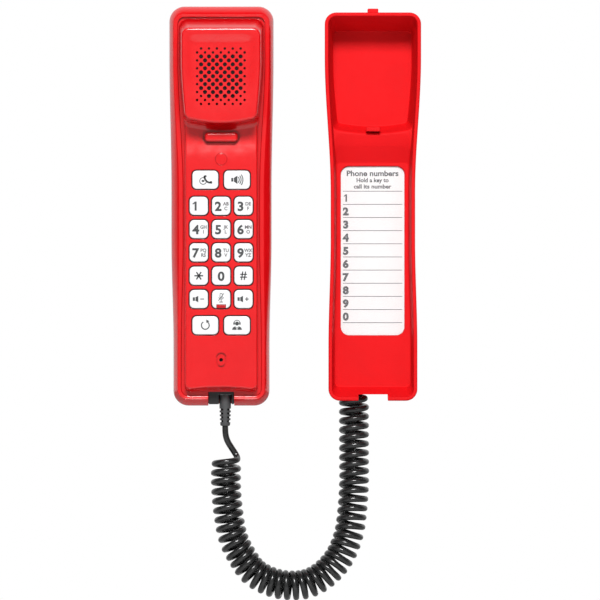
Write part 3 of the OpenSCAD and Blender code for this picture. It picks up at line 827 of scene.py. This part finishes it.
def make_front_shell():
    edge = grown(HANDSET_MOUTH, -0.15, -0.15)
    plate = in_handset("handset_front_case", [(2, edge), (LEDGE - 0.02, edge)])
    panel = in_handset("panel", rounded_edge(-PANEL_RISE, PANEL_FACE, 0.9) + [(3.0, PANEL_BASE)],
                       lift=valley, dish=lambda x, z: valley(z) - PANEL_RISE)
    pod = in_handset("pod", pod_sections(), dish=pod_dish)
    combine(plate, [panel, pod], "UNION")
    combine(plate, [
        hollow(-PANEL_RISE + WALL, [-95.4, VALLEY_START, 17.6, 17.6, 17.6, 3, 0],
               [-97, VALLEY_START, 18.2, 18.2, 18.2, 3, 0]),
        hollow(-VALLEY_RISE + WALL, [20, 48, 17.4, 17.4, 17.4, 3, 0], [20, 48, 17.9, 17.9, 17.9, 3, 0]),
        hollow(-POD_RISE + WALL + DISH_DEPTH, grown(POD_FACE, -WALL, -WALL), grown(POD_BASE, -WALL, -WALL)),
        grille_tools(),
    ])
    before = -PANEL_RISE - 1
    openings = []
    for key in KEYS:
        x, _, z = node_centre(key)
        w, h = (2 * (half + KEY_GAP) for half in key_half(key))
        openings.append(face_tool(x, z, w, h, 2.9, before, 0))
    openings.append(face_tool(HANDSET_X, HOOK_Z, PLUNGER_W + 2.2, PLUNGER_H + 1.6, 2.4, -9, 0))
    openings.append(handset_rod("tool", 0, LAMP_Z, LAMP_R + 0.12, before, 0, 48))
    island = face_tool(HANDSET_X, MIC_Z, 3.7, 6.3, 1.8, before - 1, -PANEL_RISE + 2, 10)
    groove = face_tool(HANDSET_X, MIC_Z, 5.3, 7.9, 2.6, before, -PANEL_RISE + 1.4, 10)
    openings.append(combine(groove, [island]))
    combine(plate, [merged("tool", openings), handset_rod("tool", 0, MIC_Z, 1.0, before, 0, 28),
                    handset_block("tool", NOTCH_X, (1.5, LEDGE + 1), (-104, -99.6))])

    def at_opening(p):
        return (abs(p.y - RIM_Y + PANEL_RISE) < 0.02 and abs(p.x - HANDSET_X) < 18.2
                and -72 < p.z < VALLEY_START)

    def at_hook(p):
        return p.y < RIM_Y - VALLEY_RISE + 0.35 and abs(p.x - HANDSET_X) < 10.2 and abs(p.z - HOOK_Z) < 3.6

    soften(plate, 0.18, at_opening)
    soften(plate, 0.35, at_hook)
    place(plate, "handset", "red_plastic", red_plastic, "handset_front_shell")


make_front_shell()

# ---- hook plunger, lamps and keys ----


def make_plunger():
    stem_back = RIM_Y - 1.4
    flange = rounded_ring(PLUNGER_W + 3.6, PLUNGER_H + 2.8, 1.5)
    rings = rounded_front(HOOK_LOW[1], PLUNGER_W, PLUNGER_H, PLUNGER_R, 1.5, 6, 8)
    rings += [(stem_back, rounded_ring(PLUNGER_W, PLUNGER_H, PLUNGER_R)), (stem_back, flange),
              (HOOK_HIGH[1], flange)]
    plunger = stack("hook_switch_bar", (HANDSET_X, HOOK_Z), rings)
    place(plunger, "hook_plunger", "red_plastic", red_plastic, "hook_plunger")


def make_hook_spring():
    """The plunger's coil spring."""
    low, high = node_box("hook_spring")
    x, _, z = (low + high) / 2
    r = (high[0] - low[0]) / 2 - SPRING_WIRE_R
    length = high[1] - low[1]
    turn = np.linspace(0, SPRING_TURNS, SPRING_TURNS * 24 + 1)
    rise = low[1] + SPRING_WIRE_R + (length - 2 * SPRING_WIRE_R) * turn / SPRING_TURNS
    line = np.column_stack([x + r * np.cos(math.tau * turn), rise, z + r * np.sin(math.tau * turn)])
    spring = tube("hook_return_spring", line, SPRING_WIRE_R, 8)
    place(spring, "handset", "steel", steel, "hook_spring")
    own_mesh(spring)


def make_lamps():
    levels = [(0, -0.3), (0.09, -0.09), (0.3, 0), (WALL, 0), (WALL, 0.9), (PANEL_RISE - 1, 0.9)]
    message = turned("message_lamp_lens", HANDSET_X, LAMP_Z, RIM_Y - PANEL_RISE,
                     [(y, LAMP_R + r) for y, r in levels], 56)
    place(message, "handset", "red_lens", red_plastic, "message_lamp")
    x, y, z = np.transpose(node_box("mute_lamp"))
    mute = block("mute_lamp_lens", x + LAMP_GAP, y, z + LAMP_GAP, 0.25)
    place(mute, "key_mute", "red_lens", red_lens, "mute_lamp")


KEY_EDGE, KEY_R, KEY_CROWN = 0.5, 2.4, 0.15
KEY_STEM_R = 2
LAMP_GAP = np.array([0.02, -0.02])
FLANGE_Y = RIM_Y - 2.3


def make_key(node):
    low, high = node_box(node)
    x, _, z = (low + high) / 2
    half_w, half_h = key_half(node)
    w, h = 2 * half_w, 2 * half_h
    flange = rounded_ring(w + 2 * KEY_FLANGE, h + 2 * KEY_FLANGE, KEY_R + 0.2, 7)
    rings = rounded_front(low[1] + KEY_CROWN, w, h, KEY_R, KEY_EDGE, 5, 7)
    rings += [(FLANGE_Y, rounded_ring(w, h, KEY_R, 7)), (FLANGE_Y, flange), (RIM_Y - 2, flange)]
    key = stack(f"{node}_cap", (x, z), rings, crown=KEY_CROWN)
    combine(key, [rod("tool", x, z, KEY_STEM_R, FLANGE_Y, high[1], 24)], "UNION")
    if node == "key_mute":
        lamp_low, lamp_high = node_box("mute_lamp")
        combine(key, [block("tool", (lamp_low[0] - 0.1, lamp_high[0] + 0.1), (low[1] - 1, FLANGE_Y - 0.2),
                            (z - half_h - 1, lamp_high[2] + 0.1))])
    place(key, node, "white_key", key_plastic, node)


make_plunger()
make_hook_spring()
make_lamps()
for key_node in KEYS:
    make_key(key_node)

# ---- printed marks: thin ink on the keys and the card ----

INK = 0.03
CAPITAL = 0.729  # height of the built-in font's capitals


def lettering(words, height, bold, squeeze, at):
    """Words as a flat mesh of ink, with capitals of that height, centred at (x, z)."""
    curve = bpy.data.curves.new("words", "FONT")
    curve.body = words
    curve.offset = bold
    curve.extrude = 0.5
    curve.resolution_u = 4
    letters = bpy.data.objects.new("words", curve)
    bpy.context.scene.collection.objects.link(letters)
    bpy.context.view_layer.update()
    mesh = bpy.data.meshes.new_from_object(letters.evaluated_get(bpy.context.evaluated_depsgraph_get()))
    bpy.data.objects.remove(letters)
    bpy.data.curves.remove(curve)
    co = np.array([v.co for v in mesh.vertices]).reshape(-1, 3)
    scale = height / CAPITAL
    middle = (co[:, 0].min() + co[:, 0].max()) / 2
    points = [((x - middle) * scale * squeeze + at[0], (0.5 - d) * INK, z * scale - height / 2 + at[1])
              for x, z, d in co]
    faces = [list(p.vertices) for p in mesh.polygons]
    bpy.data.meshes.remove(mesh)
    return points, faces


def flat_shape(outline):
    """A thin plate of ink with that outline, which has no holes."""
    count = len(outline)
    points = [(x, 0, z) for x, z in outline] + [(x, INK, z) for x, z in outline]
    faces = [list(range(count)), list(range(2 * count - 1, count - 1, -1))]
    faces += [[i, (i + 1) % count, count + (i + 1) % count, count + i] for i in range(count)]
    return points, faces


def stroke(line, width, closed=False):
    """A thin line of ink along the points."""
    p = [np.array(q, float) for q in line]
    count = len(p)
    left, right = [], []
    for i in range(count):
        before = p[i - 1] if (i or closed) else p[i]
        after = p[(i + 1) % count] if (i < count - 1 or closed) else p[i]
        a, b = p[i] - before, after - p[i]
        a = a / max(np.linalg.norm(a), 1e-9) if np.linalg.norm(a) > 0 else b / np.linalg.norm(b)
        b = b / max(np.linalg.norm(b), 1e-9) if np.linalg.norm(b) > 0 else a
        t = a + b
        t /= max(np.linalg.norm(t), 1e-9)
        normal = np.array([-t[1], t[0]])
        reach = width / 2 / max(0.35, abs(normal @ np.array([-b[1], b[0]])))
        left.append(p[i] + normal * reach)
        right.append(p[i] - normal * reach)
    if not closed:
        return flat_shape(left + right[::-1])
    points = [(x, y, z) for y in (0, INK) for side in (left, right) for x, z in side]
    faces = []
    for i in range(count):
        j = (i + 1) % count
        for a, b in ((0, count), (2 * count, 3 * count), (0, 2 * count), (count, 3 * count)):
            faces.append([a + i, a + j, b + j, b + i])
    return points, faces


def bar(x1, x2, z1, z2):
    return flat_shape([(x1, z1), (x2, z1), (x2, z2), (x1, z2)])


def arc(cx, cz, r, start, end, steps=12):
    angles = [math.radians(start + (end - start) * i / steps) for i in range(steps + 1)]
    return [(cx + r * math.cos(a), cz + r * math.sin(a)) for a in angles]


def moved(mark, dx, dz):
    points, faces = mark
    return [(x + dx, y, z + dz) for x, y, z in points], faces


def print_marks(name, marks, centre, front, body, material):
    """Joins marks, given about the centre (x, z), into one piece of ink whose back is at front."""
    points, faces = [], []
    for some, theirs in marks:
        faces += [[len(points) + i for i in f] for f in theirs]
        points += [(x + centre[0], y + front - INK, z + centre[1]) for x, y, z in some]
    piece = mesh_piece(name, points, faces)

    def close(bm):
        bmesh.ops.remove_doubles(bm, verts=bm.verts, dist=1e-7)
        bmesh.ops.recalc_face_normals(bm, faces=bm.faces)

    edit(piece.data, close)
    slot = "card_paper" if body == "cradle" else "white_key"
    place(piece, body, slot, material, smooth=False)


def speaker_sign(x, back, width, front):
    """A small loudspeaker that starts at x: a square of half height back, and a cone that opens to front."""
    cone = x + 1.45
    return [bar(x, x + 1.15, -back, back),
            flat_shape([(cone, -back), (cone + width, -front), (cone + width, front), (cone, back)])]


def handset_sign():
    """A handset lying on a slant, with its two ends turned to the upper right."""
    grip = arc(2.2, 2.3, 3.1, 172, 278, 10)
    ends = [flat_shape([(-1.45, 2.75), (0.0, 3.05), (0.1, 2.0), (-1.25, 1.75)]),
            flat_shape([(1.9, -0.25), (3.0, -0.15), (3.1, -1.45), (1.85, -1.5)])]
    return [moved(stroke(grip, 1.0), 0.0, -0.9)] + [moved(e, 0.1, -0.7) for e in ends]


DIGIT_H = 4.85
LETTER_H = 1.85
LETTERS = {"2": ("AB", "C"), "3": ("DE", "F"), "4": ("GH", "I"), "5": ("JK", "L"), "6": ("MN", "O"),
           "7": ("PQ", "RS"), "8": ("TU", "V"), "9": ("WX", "YZ")}


def figure(digit, height, bold, at):
    """One figure; the built-in font's 1 has no flag, so that one is drawn."""
    if digit != "1":
        return lettering(digit, height, bold, 1.06, at)
    w, h = height * 0.22, height / 2
    flag = [(-0.5, 1), (0.5, 1), (0.5, -1), (-0.5, -1), (-0.5, 0.55), (-1.5, 0.32), (-1.5, 0.62),
            (-0.9, 0.75)]
    return moved(flat_shape([((x + 0.3) * w, z * h) for x, z in flag[::-1]]), *at)


DIGIT_X = {"0": 0.0, "1": -2.0}  # the others stand at -1.6, left of their letters
MESSAGE_RING = stroke(arc(-2.05, -0.8, 1.8, 0, 345, 23), 0.42, closed=True)
MICROPHONE = stroke(rounded_ring(1.2, 2.5, 0.58, 4), 0.3, closed=True)
VOLUME = speaker_sign(-3.2, 0.95, 1.5, 1.75) + [stroke([(0.8, 0), (2.8, 0)], 0.5)]
SHOULDER = [(0.2, -2.4), (2.6, -2.4), (2.5, -1.7), (2.0, -1.0), (1.2, -0.6), (0.75, -0.6)]
SIGNS = {
    "star": [stroke(arc(0, 0, 2.35, a - 180, a, 1), 0.75) for a in (0, 58, 122)],
    "hash": [stroke([(-1.9, z), (1.9, z)], 0.6) for z in (-0.75, 0.75)]
    + [stroke([(x - 0.35, -2.3), (x + 0.35, 2.3)], 0.65) for x in (-0.75, 0.75)],
    # a handset beside a small ring with a note in it
    "message": [moved(m, 0.85, 0.15) for m in (MESSAGE_RING, bar(-2.75, -1.35, -1.35, -0.25))]
    + [moved(m, 0.5, 0.15) for m in handset_sign()],
    "loudspeaker": speaker_sign(-3.1, 1.0, 1.9, 2.3)
    + [stroke(arc(-1.2, 0, r, -40, 40), 0.5) for r in (2.4, 3.4, 4.4)],
    "volume_down": VOLUME,
    "volume_up": VOLUME + [stroke([(1.8, -1.0), (1.8, 1.0)], 0.5)],
    # a microphone on a stand, crossed out
    "mute": [moved(MICROPHONE, 0, 1.8), stroke(arc(0, 1.3, 1.35, 195, 345, 8), 0.32),
             stroke([(0, -0.1), (0, -1.5)], 0.32), stroke([(-1.0, -1.6), (1.0, -1.6)], 0.4),
             stroke([(-1.5, -0.9), (1.5, 3.1)], 0.36)],
    # a ring that ends in an arrow
    "redial": [stroke(arc(0, 0, 2.1, 50, -240, 26), 0.6),
               moved(flat_shape([(0.3, 3.05), (2.05, 2.2), (0.5, 1.1)]), 0.15, 0.05)],
    # head and shoulders with a headset
    "operator": [moved(flat_shape(circle_ring(1.05, 20)), 0, 0.95),
                 flat_shape([(0, -2.2), (0.3, -1.3), (0, -0.7), (-0.3, -1.3)]),
                 stroke(arc(0, 1.1, 1.65, 20, 160, 10), 0.35),
                 flat_shape(SHOULDER), flat_shape([(-x, z) for x, z in SHOULDER[::-1]])]
    + [bar(x - 0.4, x + 0.4, 0.35, 1.65) for x in (-1.55, 1.55)],
}


def make_key_print(node):
    x, _, z = node_centre(node)
    front = node_box(node)[0][1] + 0.02
    name = node.removeprefix("key_")
    if name.isdigit():
        marks = [figure(name, DIGIT_H, 0.036, (DIGIT_X.get(name, -1.6), -0.1))]
    else:
        marks = SIGNS[name]
    print_marks(f"{node}_print", marks, (x, z), front, node, ink)
    if name in LETTERS:
        letters = [lettering(line, LETTER_H, 0.03, 0.95, (2.5, level))
                   for line, level in zip(LETTERS[name], (1.2, -1.35))]
        print_marks(f"{node}_letters", letters, (x, z), front, node, pale_ink)


for key_node in KEYS:
    make_key_print(key_node)

# ---- cradle ----

CRADLE_WALL = 2.0
RIDGE_Y, FLOOR_Y, RECESS_Y = RIM_Y + 8.7, RIM_Y + 13.0, RIM_Y + 23.0
RIDGE_ROUND = 1.3
POCKET_TOP = 36
CARD_LOW, CARD_HIGH = node_box("card_window")
CARD_Z = (CARD_LOW[2] + CARD_HIGH[2]) / 2
CARD_W, CARD_H = CARD_HIGH[0] - CARD_LOW[0], CARD_HIGH[2] - CARD_LOW[2]
CARD_R = 4.6
TAPER = [(2, 0, 0), (5, 0.4, 1), (9, 1.2, 2.9), (14, 1.8, 4.2), (22, 2.3, 4.9), (29.8, 2.6, 5.2),
         (31, 3.6, 6.2)]  # behind the rim: depth, and how far the sides and the ends have come in
COVER_SCREWS = [(-14, 88), (14, 88), (-13, -28), (13, -28)]
CRADLE_EXIT = (-10, -9)
NETWORK_X = 9


def main_cutter():
    mouth = grown(CRADLE_RIM, -CRADLE_WALL, -CRADLE_WALL)
    return loft("tool", flared_mouth(RIM_Y, mouth, 0.5) + [(RIDGE_Y, RIDGE_LEVEL)])


def hollow_cutter(ridge, floor, floor_y, edge, mouth, lip):
    """A hollow from the ridge's level down to a floor with a soft edge round it.

    The mouth is how far its bottom and top lie from the ridge's outline, and the lip has (depth, bottom, top)
    for each section of the rounded step."""
    inside = grown(ridge, -0.01, -0.01)

    def outline(y):
        return mixed(inside, floor, (y - RIDGE_Y) / (floor_y - RIDGE_Y))

    sections = [(RIDGE_Y - 0.7, shifted(inside, *mouth))]
    for depth, bottom, top in lip:
        y = RIDGE_Y + depth
        sections.append((y, shifted(outline(y), bottom, top)))
    for side, back in quarter(5):
        y = floor_y - edge * side
        sections.append((y, grown(outline(y), -edge * back, -edge * back)))
    return loft("tool", sections)


def pocket_cutter():
    """The long hollow over the card."""
    ridge = shifted(RIDGE_LEVEL, top=POCKET_TOP - RIDGE_LEVEL[1])
    floor = np.array([-97, 24, 22.5, 19.4, 20.6, 2.6, 0])
    slope = (POCKET_TOP - floor[1]) / (FLOOR_Y - RIDGE_Y)
    lip = [(RIDGE_ROUND * k / 6, 0, RIDGE_ROUND * (1 - k / 6) ** 2 * slope) for k in range(7)]
    return hollow_cutter(ridge, floor, FLOOR_Y, 0.4, (0, RIDGE_ROUND), lip)


def recess_cutter():
    """The deep hollow for the earpiece pod."""
    ridge = np.array([39.6, 99.8, 23, 19.8, 21, 3.8, 1.6])
    lip = [(RIDGE_ROUND * back, -RIDGE_ROUND * side, 0) for side, back in quarter(5)]
    return hollow_cutter(ridge, RECESS_FLOOR, RECESS_Y, 0.5, (-RIDGE_ROUND, 0), lip)


def make_cradle():
    outer = rounded_edge(RIM_Y, CRADLE_RIM, 0.8)
    outer += [(RIM_Y + d, grown(CRADLE_RIM, -x, -z, -z / 2)) for d, x, z in TAPER]
    shell = loft("cradle_case", outer)
    combine(shell, [block("tool", (-2.9, 2.9), (RIM_Y + 1, RIM_Y + 4.5), (102.8, 106.5), 0.5)], "UNION")
    card_hole = rounded_ring(CARD_W + 0.2, CARD_H + 0.2, CARD_R + 0.1, 10)
    wide_hole = rounded_ring(CARD_W + 0.6, CARD_H + 0.6, CARD_R + 0.3, 10)
    behind_card = np.array([-97.4, 34, 21.4, 18.3, 19.5, 3.5, 0])
    exit_x, exit_y = CRADLE_EXIT
    combine(shell, [
        main_cutter(), pocket_cutter(), recess_cutter(),
        loft("tool", [(RECESS_Y + 2, CRADLE_CAVITY), (0.5, CRADLE_CAVITY)]),
        loft("tool", [(FLOOR_Y + 3, behind_card), (RECESS_Y + 3, behind_card)]),
        stack("tool", (0, CARD_Z), [(FLOOR_Y - 0.5, wide_hole), (FLOOR_Y, wide_hole),
                                    (FLOOR_Y + 0.2, card_hole), (FLOOR_Y + 1.5, card_hole)]),
        block("tool", (-7.7, 8), (RIM_Y - 1, -18), (-112, -101)),
        block("tool", (exit_x - 4.1, exit_x + 4.1), (exit_y - 3.3, exit_y + 3.3), (-106, -96)),
        block("tool", (NETWORK_X - 6.2, NETWORK_X + 6.2), (-12, -3.9), (-106, -96)),
    ])
    tab = block("tool", (-3.5, 4), (RIDGE_Y - 2.7, RIDGE_Y + 6), (40.6, 42.9), 0.4)
    combine(shell, [tab], "UNION")
    soften(shell, 0.5, lambda p: p.z < -101.5 and -8.5 < p.x < 8.8 and p.y < -17.5)
    place(shell, "cradle", "red_plastic", red_satin, "cradle_shell")
    posts = []
    for x, z in COVER_SCREWS:
        front = RECESS_Y + 1.6 if z > 0 else FLOOR_Y + 2.6
        post = rod("post", x, z, 3, front, -2, 32)
        posts.append(combine(post, [rod("tool", x, z, 1.25, -5.9, 0, 20)]))
    place(merged("cradle_screw_posts", posts), "cradle", "red_plastic", red_satin)


make_cradle()

# ---- number card and its window ----

RULE_COUNT, RULE_PITCH = 11, 7.1
RULE_W, RULE_T = 32.0, 0.32
FIRST_RULE = 13.45  # below the card's top


def make_card():
    low, high = node_box("number_card")
    front, top, centre = low[1] + 0.06, CARD_H / 2, (0, CARD_Z)
    sheet = rounded_ring(high[0] - low[0], high[2] - low[2], CARD_R - 0.1, 10)
    card = stack("number_card_paper", centre, [(front, sheet), (high[1], sheet)])
    place(card, "cradle", "card_paper", paper, "number_card")
    levels = [top - FIRST_RULE - RULE_PITCH * k for k in range(RULE_COUNT)]
    rules = [bar(-RULE_W / 2, RULE_W / 2, z - RULE_T / 2, z + RULE_T / 2) for z in levels]
    print_marks("card_rules", rules, centre, front, "cradle", ink)
    words = [lettering("Phone numbers", 3.0, 0.03, 1.08, (0, top - 3.7)),
             lettering("Hold a key to", 2.3, 0.03, 1.0, (0, top - 7.4)),
             lettering("call its number", 2.3, 0.03, 1.08, (0, top - 10.8))]
    words += [figure(digit, 4.0, 0.06, (1.5 - RULE_W / 2, z - RULE_PITCH * 0.52))
              for digit, z in zip("1234567890", levels)]
    print_marks("card_words", words, centre, front, "cradle", ink)


make_card()

# ---- strain relief, screws ----

BOOT_LOW, BOOT_HIGH = node_box("handset_cord_boot")
BOOT_X, BOOT_Y = (BOOT_LOW[0] + BOOT_HIGH[0]) / 2, (BOOT_LOW[1] + BOOT_HIGH[1]) / 2
BOOT_R = 3.1


def upright(name, x, y, levels, count=40):
    """A round solid about a vertical axis, through (z, radius) levels from the top down."""
    points = [(x + dx, y + dy, z) for z, r in levels for dx, dy in circle_ring(r, count)]
    return mesh_piece(name, points, closed_skin(count, len(levels)))


def make_boot():
    top, bottom = BOOT_HIGH[2], BOOT_LOW[2]
    boot = upright("handset_cord_relief", BOOT_X, BOOT_Y, [
        (top, BOOT_R - 0.3), (top - 0.1, BOOT_R - 0.1), (top - 0.4, BOOT_R), (-108, BOOT_R),
        (-112, BOOT_R - 0.12), (bottom + 1.6, 2.75), (bottom + 0.5, 2.62), (bottom + 0.15, 2.45),
        (bottom, 2.1)])
    slits = [block("tool", (x - 1.9, x + 1.9), (BOOT_Y - 4, BOOT_Y + 4), (z - 0.52, z + 0.52), 0.15)
             for z in (-109.2 - 2.1 * i for i in range(4)) for x in (BOOT_X - 3, BOOT_X + 3)]
    combine(boot, [merged("tool", slits)])
    # the cord's sheath inside the boot, near black to paint the shade in the boot's slits
    core = upright("handset_cord_core", BOOT_X, BOOT_Y, [(top - 1, 2.5), (-109, 2.5), (bottom + 1, 2.05)])
    place(core, "handset", "cord_black", sheath_and_slit_shade)
    return place(boot, "handset", "cord_black", boot_rubber, "handset_cord_boot")


def screw_head(x, z, r, back):
    """A pan head with a cross in it, whose back face looks away from the viewer."""
    head = turned("head", x, z, back, [(0, r - 0.5), (-0.12, r - 0.2), (-0.5, r), (-1.0, r)], 32)
    slot = (back - 0.7, back + 0.5)
    return combine(head, [block("tool", (x - 1.3, x + 1.3), slot, (z - 0.3, z + 0.3)),
                          block("tool", (x - 0.3, x + 0.3), slot, (z - 1.3, z + 1.3))])


def make_screws(name, body, node, places, r, shank_r, shank_front):
    back = node_box(node)[1][1]
    parts = [screw_head(x, z, r, back) for x, z in places]
    parts += [rod("shank", x, z, shank_r, shank_front, back - 1.05, 24) for x, z in places]
    place(merged(name, parts), body, "steel", steel, node)


def make_microphone_felt():
    """The black felt over the microphone's face, behind its hole."""
    front = node_box("microphone")[0][1]
    felt = rod("microphone_felt", HANDSET_X, MIC_Z, 2.2, front - 0.25, front + 0.02)
    place(felt, "handset", "foam", foam)


boot = make_boot()
make_screws("cradle_cover_screws", "cradle", "cover_screws", COVER_SCREWS, 2.5, 1.2, -5.7)
make_screws("handset_case_screws", "handset", "handset_screws", [(x + HANDSET_X, z) for x, z in REAR_SCREWS],
            2.6, 1.05, RIM_Y + 4)
make_microphone_felt()

# ---- floor, world and lights ----

TARGET = Vector((-0.04, -0.03, -0.04))
FRONT_GLOW, SIDE_GLOW, BACK_GLOW = 0.5, 0.03, 1.0
GLOW = [(0, FRONT_GLOW), (0.03, FRONT_GLOW), (0.1, SIDE_GLOW), (0.52, SIDE_GLOW), (0.72, BACK_GLOW),
        (1, BACK_GLOW)]  # from in front of the object to behind it
FLOOR_REACH, FLOOR_Z = 4.0, -0.62
LIGHTS = [  # name, place, width, height and watts
    ("key_light", (-0.04, -2.05, 1.46), 0.9, 0.5, 87),
    ("left_light", (-1.6, -2.0, 0.1), 0.6, 1.8, 3),
    ("right_light", (1.52, -2.0, 0.1), 0.6, 1.8, 3.5),
    ("low_light", (0, -1.5, -2.1), 1.8, 0.6, 3),
]


def make_floor():
    mesh = bpy.data.meshes.new("floor")
    corners = [(x * FLOOR_REACH, y * FLOOR_REACH, FLOOR_Z) for x, y in ((-1, -1), (1, -1), (1, 1), (-1, 1))]
    mesh.from_pydata(corners, [], [(0, 1, 2, 3)])
    floor = shown("floor", mesh)
    material, tree, shader = new_material("floor", (0.65, 0.65, 0.65), 0.7)
    tree.links.new(spread(tree, noise(tree, 3, 2), 0.65, 0.8), shader.inputs["Roughness"])
    mesh.materials.append(material)


def make_world():
    """White to the camera. To the object: bright behind it, soft round the camera, and dark at the sides."""
    world = bpy.data.worlds.new("studio")
    bpy.context.scene.world = world
    world.use_nodes = True
    tree = world.node_tree
    tree.nodes.clear()
    split = add(tree, "SeparateXYZ", {"Vector": add(tree, "TexCoord").outputs["Generated"]})
    place_y = add(tree, "MapRange", {"Value": split.outputs["Y"]}, From_Min=-1)
    ramp = add(tree, "ValToRGB", {"Fac": place_y.outputs["Result"]})
    while len(ramp.color_ramp.elements) < len(GLOW):
        ramp.color_ramp.elements.new(0.5)
    for stop, (at, level) in zip(ramp.color_ramp.elements, GLOW):
        stop.position, stop.color = at, (level, level, level, 1)
    lit = add(tree, "Background", {"Color": ramp.outputs["Color"]})
    white = add(tree, "Background", Color=(1, 1, 1, 1))
    rays = add(tree, "LightPath")
    mix = add(tree, "MixShader", {"Fac": rays.outputs["Is Camera Ray"], 1: lit.outputs["Background"],
                                  2: white.outputs["Background"]})
    add(tree, "OutputWorld", {"Surface": mix.outputs["Shader"]})


def softbox(name, at, width, height, watts):
    data = bpy.data.lights.new(name, "AREA")
    data.shape = "RECTANGLE"
    data.size, data.size_y, data.energy = width, height, watts
    light = bpy.data.objects.new(name, data)
    light.location = at
    light.rotation_euler = (TARGET - Vector(at)).to_track_quat("-Z", "Y").to_euler()
    light.visible_camera = False
    bpy.context.scene.collection.objects.link(light)


make_floor()
make_world()
for light in LIGHTS:
    softbox(*light)
bpy.context.scene.view_settings.view_transform = "Standard"
